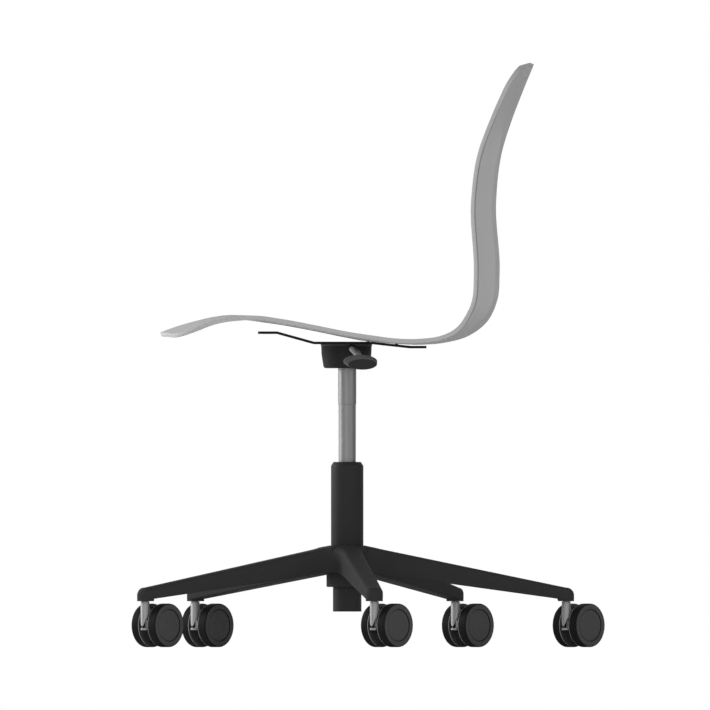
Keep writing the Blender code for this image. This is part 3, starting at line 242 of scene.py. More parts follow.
# Star base
LEG_COUNT = len(STEMS)
LEG_HALF_ANGLE = math.pi / LEG_COUNT
HUB_RADIUS = 32 * MM
HUB_BOTTOM = 92.7 * MM
HUB_RIM_WALL = 1.7 * MM
HUB_EDGE = 2.0 * MM
HUB_BORE_EDGE = 0.5 * MM
HUB_STEPS = 24 * LEG_COUNT
TAPER_TOP = HUB_TOP - 5 * MM
TAPER_HEIGHT = 10 * MM
LEG_ROOT = 24 * MM
LEG_ROOT_HALF_WIDTH = 18 * MM
LEG_ROOT_DEPTH = 40 * MM
LEG_WEB_RADIUS = 24 * MM
LEG_WEB_MERGE = 0.02 * MM
LEG_TIP = STEMS[0].length - 1.1 * MM
LEG_TIP_HALF_WIDTH = 13.35 * MM
LEG_TIP_RISE = 21.1 * MM
LEG_TIP_DEPTH = 18.7 * MM
LEG_TIP_WALL = 9.5 * MM
LEG_END_HALF_WIDTH = 0.2 * MM
LEG_TOP_ROUND = 8 * MM
LEG_BOTTOM_ROUND = 2 * MM
# Largest share of a leg's half width that a rounding takes up
LEG_ROUND_SHARE = 0.9
LEG_ROWS = 24
LEG_WEB_ROWS = 10
LEG_TIP_ROWS = 10
BOSS_RADIUS = 13.2 * MM
BOSS_INNER_FOOT = 10.8 * MM
BOSS_SLANT_RUN = 1.8 * MM
BOSS_SLANT_RISE = 3.5 * MM
SOCKET_HOLE_RADIUS = 7.8 * MM
SOCKET_HOLE_DEPTH = 16.8 * MM
# How far below the legs' tips the cut of the socket holes starts
SOCKET_HOLE_START = 2 * MM

# Casters
CASTER_YAW = math.radians(48.0)
CASTER_TRAIL = 28.8 * MM
CASTER_TOP = TIP_BOTTOM - FIT_GAP
AXLE_RADIUS = 3 * MM

# Caster wheels, each a tyre on a disc, with a lip beside the tyre and a trough in its inner face
WHEEL_RADIUS = 33.65 * MM
WHEEL_WIDTH = 15.4 * MM
WHEEL_SPACE = 18.2 * MM
WHEEL_SHOULDER = 1.5 * MM
WHEEL_LIP = 1.1 * MM
WHEEL_LIP_DROP = 0.22 * MM
WHEEL_LIP_EDGE = 0.3 * MM
# Which way the lip's faces point where they carry the painted highlight
WHEEL_LIP_HIGHLIGHT_FACING = (-0.5, -0.1)
WHEEL_DISC_FACING = 0.995
WHEEL_RECESS_EDGE = 0.6 * MM
TROUGH_OUTER = 27.5 * MM
TROUGH_INNER = 10.0 * MM
TROUGH_SLOPE = 1.0 * MM
TROUGH_DEPTH = 2.0 * MM
TROUGH_EDGE = 0.4 * MM
TROUGH_ROUND = 0.6 * MM

# Wheel caps
CAP_RADIUS = 24.2 * MM
CAP_RECESS = 2.8 * MM
CAP_CROWN_RADIUS = 14.0 * MM
CAP_CROWN_DROP = 0.05 * MM
CAP_CROWN_ROUND = 4 * MM
CAP_EDGE_DROP = 0.5 * MM
CAP_EDGE = 1.0 * MM

# Caster forks
STEM_RADIUS = 5 * MM
STEM_LENGTH = 15.5 * MM
STEM_EDGE = 1.0 * MM
BARREL_RADIUS = 6.85 * MM
BARREL_TOP_EDGE = 0.4 * MM
BARREL_FOOT = 26.2 * MM
BARREL_FOOT_EDGE = 0.5 * MM
FORK_ARM_ROOT_TOP = 66.5 * MM
FORK_ARM_ROOT_BOTTOM = 47.5 * MM
FORK_ARM_END_HALF = 6.7 * MM
FORK_ARM_HALF_WIDTH = 4.0 * MM
FORK_ARM_EDGE = 1.2 * MM
FORK_EYE_RADIUS = 7.5 * MM
# Window through the fork's barrel, as distance along the trail and height
# Its slanted front leaves a pointed tongue
FORK_WINDOW = (
    (-7.2 * MM, 29.4 * MM),
    (7.2 * MM, 29.4 * MM),
    (7.2 * MM, 44.5 * MM),
    (-4.2 * MM, 44.5 * MM),
    (-6.6 * MM, 30.5 * MM),
    (-7.2 * MM, 30.5 * MM),
)
# Strip that stands in the window, as its two far corners
FORK_STRIP = ((2.8 * MM, -2.1 * MM, 28.5 * MM), (6.5 * MM, 2.1 * MM, 45.5 * MM))

# Height lever
LEVER_ROD_RADIUS = 3.7 * MM
LEVER_EYE_RADIUS = 4.5 * MM
LEVER_PIN_HOLE_RADIUS = 2.3 * MM
# Opening for it in the housing: middle from the pivot, turn round Z, radius, rise with the lifted lever
LEVER_EXIT = Vector((3.2 * MM, -12.0 * MM, 0.3 * MM))
LEVER_EXIT_TURN = math.radians(19.0)
LEVER_EXIT_RADIUS = 5.5 * MM
LEVER_EXIT_RISE = 1.4 * MM
# Route of the lever from the pivot: offset along X, along Y, along Z, thickness as a share of the rod's
LEVER_ROUTE = (
    (-0.0040, 0.0300, 0.0000, 1.00),
    (-0.0012, 0.0100, 0.0000, 1.00),
    (0.0010, -0.0060, 0.0006, 1.00),
    (0.0043, -0.0145, 0.0004, 1.46),
    (0.0094, -0.0440, -0.0040, 1.52),
    (0.0130, -0.0760, -0.0100, 1.50),
    (0.0146, -0.1020, -0.0138, 1.42),
    (0.0160, -0.1240, -0.0191, 1.35),
)
PADDLE_HALF_LENGTH = 26.6 * MM
PADDLE_HALF_DEPTH = 20 * MM
PADDLE_TAPER = 0.84
PADDLE_THICKNESS = 6.2 * MM
PADDLE_LEAN = 3.9 * MM
PADDLE_TILT = math.radians(30.0)
PADDLE_EDGE = 1.2 * MM
PADDLE_EDGE_STEPS = 4
# How squarely a paddle face must point down to carry the painted shade
PADDLE_SHADE_FACING = 0.98
ROD_SEAT_DEPTH = 3.5 * MM

# Studio: floor, camera, and the strength of its light overhead, before the chair and behind it
FLOOR_RADIUS = 12.0
FLOOR_STEPS = 64
FLOOR_DROP = 0.2 * MM
CAMERA_DISTANCE = 4.0
SKY_LEVEL = 0.17
FRONT_LEVEL = 1.46
REAR_LEVEL = 0.2
# How far to the rear a mirrored ray points where the white backdrop begins and where it is full
BACKDROP_START = 0.2
BACKDROP_FULL = 0.9
WHITE = (1.0, 1.0, 1.0, 1.0)
# Lamps: place, width and height, and power in watts; each faces the middle of the chair
LAMP_AIM = (0.0, 0.0, 0.45)
LAMPS = {
    "key_lamp": ((-2.6, 0.9, 1.2), (1.6, 1.2), 73),
    "side_lamp": ((-3.0, 0.4, 0.5), (1.6, 1.2), 13),
    "front_lamp": ((-0.5, -3.2, 0.3), (1.6, 0.5), 7),
    "fill_lamp": ((2.6, -1.6, 1.0), (1.6, 1.2), 12),
}


# Shader nodes and materials
def linear(hex_colour):
    """Turn an sRGB hex colour into linear red, green, blue and alpha."""
    parts = [int(hex_colour[place:place + 2], 16) / 255 for place in (1, 3, 5)]
    curved = [((part + 0.055) / 1.055) ** 2.4 for part in parts]
    return (*[part / 12.92 if part <= 0.04045 else curve for part, curve in zip(parts, curved)], 1.0)


def add_node(tree, kind, values=None, links=None, **settings):
    """Add a shader node with its settings, its socket values and its links."""
    node = tree.nodes.new(kind)
    for name, value in settings.items():
        setattr(node, name, value)
    for socket, value in (values or {}).items():
        node.inputs[socket].default_value = value
    for socket, source in (links or {}).items():
        tree.links.new(source, node.inputs[socket])
    return node


def new_material(name, roughness, metallic=0.0):
    """Make a material, and return it with its shader."""
    material = bpy.data.materials.new(name)
    material.use_nodes = True
    shader = material.node_tree.nodes["Principled BSDF"]
    shader.inputs["Roughness"].default_value = roughness
    shader.inputs["Metallic"].default_value = metallic
    return material, shader


def per_metre(millimetres):
    """Return a noise scale whose features are about that many millimetres wide."""
    return 1.0 / (millimetres * MM)


def grained(
    name, colours, roughness, grain, depth, mottle, metallic=0.0, stretch=(1.0, 1.0, 1.0), gloss=0.5
):
    """Make a surface with a fine grain, a slow drift of colour and a roughness that varies with both.

    colours are the two ends of the drift, roughness its two ends, grain and mottle are widths in mm,
    depth is the grain's height in mm, stretch draws the grain out along the axes, and gloss is the
    strength of the clear reflection over the colour.
    """
    material, shader = new_material(name, roughness[0], metallic)
    tree = material.node_tree
    shader.inputs["Specular IOR Level"].default_value = gloss
    place = add_node(tree, "ShaderNodeTexCoord").outputs["Object"]
    drift = add_node(
        tree,
        "ShaderNodeTexNoise",
        {"Scale": per_metre(mottle), "Detail": 3.0, "Roughness": 0.55},
        {"Vector": place},
    ).outputs["Fac"]
    colour = add_node(
        tree,
        "ShaderNodeMix",
        {"A": linear(colours[0]), "B": linear(colours[1])},
        {"Factor": drift},
        data_type="RGBA",
    )
    tree.links.new(colour.outputs["Result"], shader.inputs["Base Color"])
    drawn = add_node(tree, "ShaderNodeMapping", {"Scale": stretch}, {"Vector": place}).outputs["Vector"]
    fine = add_node(
        tree,
        "ShaderNodeTexNoise",
        {"Scale": per_metre(grain), "Detail": 2.0, "Roughness": 0.5},
        {"Vector": drawn},
    ).outputs["Fac"]
    both = add_node(
        tree, "ShaderNodeMath", links={0: drift, 1: fine}, operation="MULTIPLY"
    ).outputs["Value"]
    spread = add_node(
        tree,
        "ShaderNodeMapRange",
        {"From Min": 0.1, "From Max": 0.45, "To Min": roughness[0], "To Max": roughness[1]},
        {"Value": both},
    ).outputs["Result"]
    tree.links.new(spread, shader.inputs["Roughness"])
    bump = add_node(
        tree, "ShaderNodeBump", {"Strength": 0.6, "Distance": depth * MM}, {"Height": fine}
    ).outputs["Normal"]
    tree.links.new(bump, shader.inputs["Normal"])
    return material


# Polypropylene, injection moulded in a finely spark-eroded mould: an even satin grey with no gloss.
# The real grain of 0.3 mm is drawn at 0.9 mm so that it shows close up.
SHELL_PLASTIC = grained(
    "moulded_polypropylene", ("#A2A2A2", "#A6A6A6"), (0.55, 0.65),
    grain=0.9, depth=0.03, mottle=70, gloss=0.2,
)
# The same plastic in the groove round the rim, drawn darker and duller: the darkness is painted shade,
# standing for the groove's dark line.
RIM_LINE_PAINTED_SHADE = grained(
    "rim_groove_painted_shade", ("#7E7E7E", "#828282"), (0.60, 0.70),
    grain=0.9, depth=0.03, mottle=70, gloss=0.3,
)
# Steel under a black powder coat: a fine orange peel, a little gloss.
POWDER_COAT = grained(
    "powder_coated_steel", ("#272727", "#2A2A2A"), (0.48, 0.58),
    grain=1.1, depth=0.04, mottle=60, gloss=0.08,
)
# Sheet steel under a deeper black powder coat, seen mostly on its cut edge and in the shell's shade.
PLATE_COAT = grained(
    "powder_coated_sheet", ("#121212", "#151515"), (0.48, 0.58),
    grain=1.1, depth=0.04, mottle=60, gloss=0.12,
)
# Nylon filled with glass fibre, moulded: matt black, with a faint cloudiness from the fibres.
NYLON = grained(
    "glass_filled_nylon", ("#2C2C2C", "#303030"), (0.60, 0.74),
    grain=1.0, depth=0.05, mottle=26, gloss=0.03,
)
# Polyurethane for the tyres, moulded smooth: near black, with a low sheen.
TYRE = grained(
    "moulded_polyurethane", ("#151515", "#181818"), (0.55, 0.65),
    grain=0.8, depth=0.02, mottle=18, gloss=0.04,
)
# Acrylonitrile plastic for wheel discs, caps and trim, moulded and lightly textured: dark grey,
# paler than the tyres. On the housing's strip it is a painted highlight, a light line under the plate.
GREY_PLASTIC = grained(
    "textured_grey_plastic", ("#3A3A3A", "#3E3E3E"), (0.44, 0.54),
    grain=0.7, depth=0.03, mottle=20, gloss=0.2,
)
# Painted highlight on the lip beside each tyre: the same plastic in a paler grey, drawn as a thin light
# line where light catches the lip's edge.
LIP_PAINTED_HIGHLIGHT = grained(
    "lip_highlight_painted_grey", ("#7C7C7C", "#828282"), (0.44, 0.54),
    grain=0.7, depth=0.03, mottle=20, gloss=0.25,
)
# Nylon for the lever's paddle, moulded smooth: mid grey.
LEVER_NYLON = grained(
    "moulded_lever_nylon", ("#464646", "#4A4A4A"), (0.44, 0.54),
    grain=0.8, depth=0.02, mottle=22, gloss=0.2,
)
# Painted shade on the paddle's downward grip face: the plastic drawn darker and duller than the nylon
# round it, for the face turned away from the light.
PADDLE_FACE_PAINTED_SHADE = grained(
    "paddle_grip_painted_shade", ("#2A2A2A", "#2E2E2E"), (0.60, 0.70),
    grain=0.8, depth=0.03, mottle=22, gloss=0.15,
)
# Steel under a grey powder coat for the lever's rod: paler than the paddle, with a soft highlight. Its
# grey is also pushed paler as painted light, to lift the rod out of the shade under the seat.
ROD_COAT_AND_PAINTED_LIGHT = grained(
    "grey_rod_with_painted_light", ("#ACACAC", "#B2B2B2"), (0.38, 0.48), grain=1.1, depth=0.03, mottle=22
)
# Hard-chromed steel, centreless ground: satin, with grinding lines that run round the tube.
# The real lines of 0.05 mm are drawn at 0.5 mm so that they show close up.
CHROME = grained(
    "ground_hard_chrome", ("#7E7E7E", "#848484"), (0.44, 0.52),
    grain=12, depth=0.01, mottle=40, metallic=1.0, stretch=(1.0, 1.0, 24.0),
)
# Zinc alloy, die cast and tumbled: a soft silver with a faint cloudiness.
DIE_CAST = grained(
    "die_cast_zinc", ("#8C8C8C", "#949494"), (0.55, 0.65), grain=1.2, depth=0.03, mottle=8, metallic=1.0
)
# Steel with bright zinc plating: pale silver.
ZINC_PLATE = grained(
    "zinc_plated_steel", ("#B9BABB", "#C2C3C4"), (0.28, 0.38),
    grain=0.8, depth=0.01, mottle=6, metallic=1.0,
)
# Acetal, turned: black and slightly waxy.
ACETAL = grained(
    "turned_acetal", ("#1E1E1F", "#222223"), (0.34, 0.42), grain=0.6, depth=0.01, mottle=12
)
# Nitrile rubber, moulded: flat black.
RUBBER = grained(
    "nitrile_rubber", ("#171717", "#1B1B1B"), (0.70, 0.80), grain=0.8, depth=0.03, mottle=10
)


# Making and finishing pieces
def rounded(corners, closed=False):
    """Return an outline through corners of x, y and rounding radius, with each rounding as an arc."""
    outline = []
    last = len(corners) - 1
    for index, (x, y, radius) in enumerate(corners):
        here = Vector((x, y))
        if radius == 0.0 or (not closed and index in (0, last)):
            outline.append(here)
            continue
        before = (Vector(corners[index - 1][:2]) - here).normalized()
        after = (Vector(corners[(index + 1) % (last + 1)][:2]) - here).normalized()
        half = before.angle(after) / 2
        centre = here + (before + after).normalized() * (radius / math.sin(half))
        start = here + before * (radius / math.tan(half)) - centre
        end = here + after * (radius / math.tan(half)) - centre
        first = math.atan2(start.y, start.x)
        sweep = (math.atan2(end.y, end.x) - first + math.pi) % (2 * math.pi) - math.pi
        for step in range(ARC_STEPS + 1):
            angle = first + sweep * step / ARC_STEPS
            outline.append(centre + Vector((math.cos(angle), math.sin(angle))) * radius)
    return outline


def spun(corners, steps=ROUND_STEPS, closed=True):
    """Turn a half section with corners of radius, height and rounding radius round Z."""
    outline = rounded(corners, closed)
    shape = bmesh.new()
    points = [shape.verts.new((radius, 0.0, height)) for radius, height in outline]
    edges = [shape.edges.new(pair) for pair in zip(points, points[1:])]
    if closed:
        edges.append(shape.edges.new((points[-1], points[0])))
    bmesh.ops.spin(
        shape,
        geom=points + edges,
        cent=(0.0, 0.0, 0.0),
        axis=(0.0, 0.0, 1.0),
        angle=2.0 * math.pi,
        steps=steps,
        use_merge=True,
    )
    tidy(shape)
    return shape


def tidy(shape):
    """Close seams and poles, and point every face outwards."""
    bmesh.ops.remove_doubles(shape, verts=shape.verts, dist=MERGE_DISTANCE)
    bmesh.ops.dissolve_degenerate(shape, edges=shape.edges, dist=MERGE_DISTANCE)
    bmesh.ops.recalc_face_normals(shape, faces=shape.faces)


def quarter_turn(steps):
    """Return the angles of a quarter turn in even steps, with both ends."""
    return [step * math.pi / 2 / steps for step in range(steps + 1)]


def grid_place(coordinate, count):
    """Return which of a count of rows a vertex of a grid from -1 to 1 lies on."""
    return round((coordinate + 1.0) / 2.0 * (count - 1))


def bevel(shape, geometry, width, steps, affect="EDGES"):
    """Round off edges or corners."""
    bmesh.ops.bevel(
        shape, geom=geometry, offset=width, segments=steps, profile=0.5, affect=affect, material=-1
    )


def mesh_from(shape, name):
    """Turn a shape into a mesh."""
    mesh = bpy.data.meshes.new(name)
    shape.to_mesh(mesh)
    shape.free()
    return mesh


def round_bar(radius, length, matrix):
    """Start a shape as a plain round bar along its own Z."""
    shape = bmesh.new()
    bmesh.ops.create_cone(
        shape,
        cap_ends=True,
        segments=SMALL_STEPS,
        radius1=radius,
        radius2=radius,
        depth=length,
        matrix=matrix,
    )
    return shape


def bar(radius, length, matrix):
    """Make a plain round bar along its own Z, as a tool that cuts or fills."""
    return mesh_from(round_bar(radius, length, matrix), "bar")


def block(low, high):
    """Make a box between two corners, as a tool that cuts or fills."""
    shape = bmesh.new()
    bmesh.ops.create_cube(shape, size=1.0)
    for vertex in shape.verts:
        vertex.co = [b if c > 0.0 else a for a, b, c in zip(low, high, vertex.co)]
    return mesh_from(shape, "block")


def prism(outline, half_depth):
    """Make a solid from an outline of x and height that runs along Y to both sides, as a tool."""
    shape = bmesh.new()
    points = [shape.verts.new((x, -half_depth, height)) for x, height in outline]
    bmesh.ops.contextual_create(shape, geom=points)
    grown = bmesh.ops.extrude_face_region(shape, geom=shape.faces[:])
    moved = [item for item in grown["geom"] if isinstance(item, bmesh.types.BMVert)]
    bmesh.ops.translate(shape, verts=moved, vec=(0.0, 2.0 * half_depth, 0.0))
    bmesh.ops.recalc_face_normals(shape, faces=shape.faces)
    return mesh_from(shape, "prism")


def placed(name, data):
    """Add an object to the scene."""
    added = bpy.data.objects.new(name, data)
    bpy.context.scene.collection.objects.link(added)
    return added


def worked(mesh, finishes):
    """Return the mesh with modifiers worked into it, each given as its kind and its settings."""
    piece = placed("working", mesh)
    for kind, settings in finishes:
        modifier = piece.modifiers.new(kind, kind)
        for name, value in settings.items():
            setattr(modifier, name, value)
    bpy.context.view_layer.update()
    depsgraph = bpy.context.evaluated_depsgraph_get()
    result = bpy.data.meshes.new_from_object(piece.evaluated_get(depsgraph))
    bpy.data.objects.remove(piece)
    return result


def carved(mesh, *tools):
    """Return the mesh cut by or joined with tools, each given as an operation and a mesh."""
    helpers = []
    finishes = []
    for operation, tool_mesh in tools:
        helper = placed("tool", tool_mesh)
        helpers.append(helper)
        finishes.append(("BOOLEAN", {"operation": operation, "solver": "EXACT", "object": helper}))
    result = worked(mesh, finishes)
    for helper in helpers:
        bpy.data.objects.remove(helper)
    return result


def marked(mesh, choose):
    """Give each face of a mesh the material whose number a choice returns."""
    for face in mesh.polygons:
        face.material_index = choose(face)
    return mesh


def dress(node, mesh, *materials):
    """Make a mesh the finished piece that stands for a node and moves with its body."""
    for material in materials:
        mesh.materials.append(material)
    mesh.shade_smooth()
    mesh.set_sharp_from_angle(angle=SHARP_ANGLE)
    piece = placed(f"finished_{node}", mesh)
    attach(piece, NODES[node]["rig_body"])
    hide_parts(node)


def coat(material, *nodes):
    """Give solids that keep their own shape a finish."""
    for node in nodes:
        NODES[node].data.materials.clear()
        NODES[node].data.materials.append(material)


# Seat shell
def shell_station(distance):
    """Return the station values at a distance along the middle line, on a smooth curve through them."""
    last = len(STATION_LENGTHS) - 2
    index = int(np.clip(np.searchsorted(STATION_LENGTHS, distance) - 1, 0, last))
    span = STATION_LENGTHS[index + 1] - STATION_LENGTHS[index]
    t = (distance - STATION_LENGTHS[index]) / span
    start = STATION_VALUES[index] * (2 * t**3 - 3 * t**2 + 1)
    start += STATION_SLOPES[index] * span * (t**3 - 2 * t**2 + t)
    end = STATION_VALUES[index + 1] * (3 * t**2 - 2 * t**3)
    end += STATION_SLOPES[index + 1] * span * (t**3 - t**2)
    return start + end


def eased(distance, marks):
    """Return a value at a distance along the middle line, eased between marks of station and value."""
    places = [(STATION_LENGTHS[station], value) for station, value in marks]
    for (start, first), (end, second) in zip(places, places[1:]):
        if distance <= end:
            share = (distance - start) / (end - start)
            return first + (second - first) * share**2 * (3.0 - 2.0 * share)
    return places[-1][1]


def dish_share(distance, across):
    """Return how much of the side edge's offset is reached at a share of the half width."""
    round_dish = across**SHELL_DISH_POWER
    bulge = eased(distance, BACK_BULGES)
    rear = bulge * (across / FLANK_START) ** 2
    reached = (across - FLANK_START) / (1.0 - FLANK_START)
    flank = bulge + (1.0 - bulge) * reached * (1.0 + FLANK_HOLLOW * (1.0 - reached))
    softening = max(0.0, FLANK_BEND - abs(rear - flank)) ** 2 / (4.0 * FLANK_BEND)
    flanked = max(rear, flank) + softening
    return round_dish + (flanked - round_dish) * eased(distance, FLANK_FORMING)


def side_inset(distance):
    """Return how far round corners draw the shell's side in, at a distance along the middle line."""
    inset = 0.0
    for from_end, radius in (
        (distance, FRONT_CORNER_RADIUS),
        (SHELL_LENGTH - distance, TOP_CORNER_RADIUS),
    ):
        if from_end < radius:
            inset += radius - math.sqrt(radius**2 - (radius - from_end) ** 2)
    return inset


def shell_rows():
    """Return where the shell's rows lie, closer together round the corners."""
    angles = quarter_turn(SHELL_CORNER_ROWS)[:-1]
    front = [FRONT_CORNER_RADIUS * (1.0 - math.cos(angle)) for angle in angles]
    top = [SHELL_LENGTH - TOP_CORNER_RADIUS * (1.0 - math.cos(angle)) for angle in angles]
    body = list(np.linspace(FRONT_CORNER_RADIUS, SHELL_LENGTH - TOP_CORNER_RADIUS, SHELL_ROWS))
    return sorted(front + body + top)


def shell_columns():
    """Return the shell's columns as shares of its half width, closer at rim groove and flanks."""
    half_width = SHELL_WIDTHS[1][1]
    inner = 1.0 - 2.0 * RIM_GROOVE_PLACE / half_width
    groove = [RIM_GROOVE_PLACE + side * RIM_GROOVE_HALF_WIDTH for side in (-1.0, 0.0, 1.0)]
    grooves = [1.0 - place / half_width for place in groove]
    steps = range(-FLANK_BEND_COLUMNS, FLANK_BEND_COLUMNS + 1)
    bend = [FLANK_START + step * FLANK_BEND_STEP for step in steps]
    body = list(np.linspace(0.0, inner, SHELL_COLUMNS))[1:]
    side = sorted(body + bend + grooves + [1.0])
    return [-share for share in reversed(side)] + [0.0] + side


def groove_depth(distance, from_edge):
    """Return the rim groove's depth at a distance along the middle line and from the side edge."""
    across = max(0.0, 1.0 - abs(from_edge - RIM_GROOVE_PLACE) / RIM_GROOVE_HALF_WIDTH)
    return RIM_GROOVE_DEPTH * across * eased(distance, GROOVE_FORMING)


def shell_surface():
    """Return the shell's outside as a mesh, with the rim groove's depth at each of its vertices."""
    rows = shell_rows()
    columns = shell_columns()
    stations = [shell_station(distance) for distance in rows]
    half_widths = [eased(distance, SHELL_WIDTHS) for distance in rows]
    insets = [side_inset(distance) for distance in rows]
    shape = bmesh.new()
    bmesh.ops.create_grid(shape, x_segments=len(rows) - 1, y_segments=len(columns) - 1, size=1.0)
    depths = []
    for vertex in shape.verts:
        row = grid_place(vertex.co.x, len(rows))
        column = grid_place(vertex.co.y, len(columns))
        x, height, edge_x, edge_z = stations[row]
        reach = half_widths[row] - insets[row]
        side = columns[column] * reach
        share = dish_share(rows[row], abs(side) / half_widths[row])
        vertex.co = (x + edge_x * share, side, PLATE_TOP + height + edge_z * share)
        depths.append(groove_depth(rows[row], reach - abs(side)))
    return mesh_from(shape, "shell_surface"), depths


def make_shell():
    surface, depths = shell_surface()
    wall = {"thickness": SHELL_THICKNESS, "offset": 1.0, "use_even_offset": True}
    shape = bmesh.new()
    shape.from_mesh(worked(surface, [("SOLIDIFY", wall)]))
    shape.verts.ensure_lookup_table()
    shape.normal_update()
    outside = len(depths)
    for vertex, depth in zip(shape.verts[outside:], depths):
        vertex.co -= vertex.normal * depth
    # Faces deep in the rim groove take the second material, painted shade that draws the groove as a
    # dark line
    for face in shape.faces:
        corners = [vertex.index - outside for vertex in face.verts]
        if min(corners) >= 0 and max(depths[corner] for corner in corners) > RIM_GROOVE_DEPTH / 3:
            face.material_index = 1
    rim = [edge for edge in shape.edges if edge.calc_face_angle() > SHELL_EDGE_ANGLE]
    bevel(shape, rim, SHELL_EDGE, EDGE_STEPS)
    dress("seat_shell", mesh_from(shape, "moulded_shell"), SHELL_PLASTIC, RIM_LINE_PAINTED_SHADE)


# Seat plate
def make_plate():
    line = rounded(PLATE_LINE)
    shape = bmesh.new()
    bmesh.ops.create_grid(shape, x_segments=len(line) - 1, y_segments=2, size=1.0)
    for vertex in shape.verts:
        point = line[grid_place(vertex.co.x, len(line))]
        vertex.co = (point.x, vertex.co.y * PLATE_HALF_WIDTH, point.y)
    corners = [vertex for vertex in shape.verts if len(vertex.link_edges) == 2]
    bevel(shape, corners, PLATE_CORNER, PLATE_CORNER_STEPS, "VERTICES")
    wall = {"thickness": PLATE_THICKNESS, "offset": 0.0, "use_even_offset": True}
    edges = {
        "width": PLATE_EDGE,
        "segments": PLATE_EDGE_STEPS,
        "limit_method": "ANGLE",
        "angle_limit": PLATE_EDGE_ANGLE,
    }
    mesh = worked(mesh_from(shape, "plate_sheet"), [("SOLIDIFY", wall), ("BEVEL", edges)])
    holes = [("DIFFERENCE", NODES[node].data.copy()) for node in FASTENERS]
    dress("seat_plate", carved(mesh, *holes), PLATE_COAT)


# Mechanism housing
def make_housing():
    low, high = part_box("mechanism_housing")
    centre = Matrix.Translation(((low.x + high.x) / 2, 0.0, 0.0))
    top_radius = (high.x - low.x) / 2
    top = HOUSING_TOP + FIT_GAP
    strip_bottom = HOUSING_TOP - HOUSING_STRIP
    floor = HOUSING_BOTTOM + HOUSING_FLOOR
    corners = (
        (0.0, floor, 0.0),
        (HOUSING_FOOT_RADIUS - HOUSING_WALL, floor, HOUSING_INNER_ROUND),
        (top_radius - HOUSING_WALL, top, 0.0),
        (top_radius, top, 0.0),
        (top_radius, strip_bottom, HOUSING_STRIP_EDGE),
        (top_radius - HOUSING_STRIP_STEP, strip_bottom, 0.0),
        (HOUSING_BELLY_RADIUS, HOUSING_TOP - HOUSING_BELLY_DROP, HOUSING_BELLY_ROUND),
        (HOUSING_FOOT_RADIUS, HOUSING_BOTTOM, HOUSING_FOOT_ROUND),
        (0.0, HOUSING_BOTTOM, 0.0),
    )
    shape = spun(corners, closed=False)
    bmesh.ops.transform(shape, matrix=centre, verts=shape.verts)
    foot = Matrix.Translation((0.0, 0.0, HOUSING_BOTTOM))
    socket_hole = bar(HOUSING_SOCKET_RADIUS, HOUSING_CUT, foot)
    along_rod = Matrix.Rotation(LEVER_EXIT_TURN, 4, "Z") @ Matrix.Rotation(math.pi / 2, 4, "X")
    openings = []
    for rise in (0.0, LEVER_EXIT_RISE):
        place = Matrix.Translation(LEVER_PIVOT + LEVER_EXIT + Vector((0.0, 0.0, rise)))
        openings.append(("DIFFERENCE", bar(LEVER_EXIT_RADIUS, HOUSING_CUT, place @ along_rod)))
    mesh = carved(mesh_from(shape, "housing"), ("DIFFERENCE", socket_hole), *openings)
    strip_start = strip_bottom + HOUSING_STRIP_MARGIN

    # The strip's upright faces take the paler grey, a painted highlight: a light line in the plate's
    # shade
    def finish(face):
        return int(abs(face.normal.z) < HOUSING_STRIP_HIGHLIGHT_FACING and face.center.z > strip_start)

    dress("mechanism_housing", marked(mesh, finish), POWDER_COAT, GREY_PLASTIC)


# Column and gas lift
def make_column():
    floor_bottom = COLUMN_BOTTOM + COLUMN_FLOOR_RISE
    floor_top = floor_bottom + COLUMN_FLOOR
    corners = (
        (COLUMN_BORE, COLUMN_TOP, 0.0),
        (COLUMN_RADIUS - COLUMN_SHOULDER_RUN, COLUMN_TOP, COLUMN_RIM_ROUND),
        (COLUMN_RADIUS, COLUMN_TOP - COLUMN_SHOULDER_DROP, COLUMN_SHOULDER_ROUND),
        (COLUMN_RADIUS, TAPER_TOP, 0.0),
        (COLUMN_FOOT_RADIUS, TAPER_TOP - TAPER_HEIGHT, 0.0),
        (COLUMN_FOOT_RADIUS, COLUMN_BOTTOM, COLUMN_FOOT_EDGE),
        (COLUMN_BORE, COLUMN_BOTTOM, COLUMN_BORE_EDGE),
        (COLUMN_BORE, floor_bottom, 0.0),
        (COLUMN_ROD_HOLE, floor_bottom, 0.0),
        (COLUMN_ROD_HOLE, floor_top, 0.0),
        (COLUMN_BORE, floor_top, 0.0),
    )
    dress("column_tube", mesh_from(spun(corners), "column"), POWDER_COAT)


def make_guide_sleeve():
    low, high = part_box("guide_sleeve")
    slide_top = low.z + SLEEVE_SLIDE_LENGTH
    corners = (
        (SLEEVE_MOUTH, high.z, SLEEVE_MOUTH_EDGE),
        (high.x, high.z, SLEEVE_RIM_EDGE),
        (high.x, low.z, 0.0),
        (SLEEVE_SLIDE, low.z, 0.0),
        (SLEEVE_SLIDE, slide_top, 0.0),
        (SLEEVE_MOUTH, slide_top, 0.0),
    )
    dress("guide_sleeve", mesh_from(spun(corners), "guide_sleeve"), ACETAL)


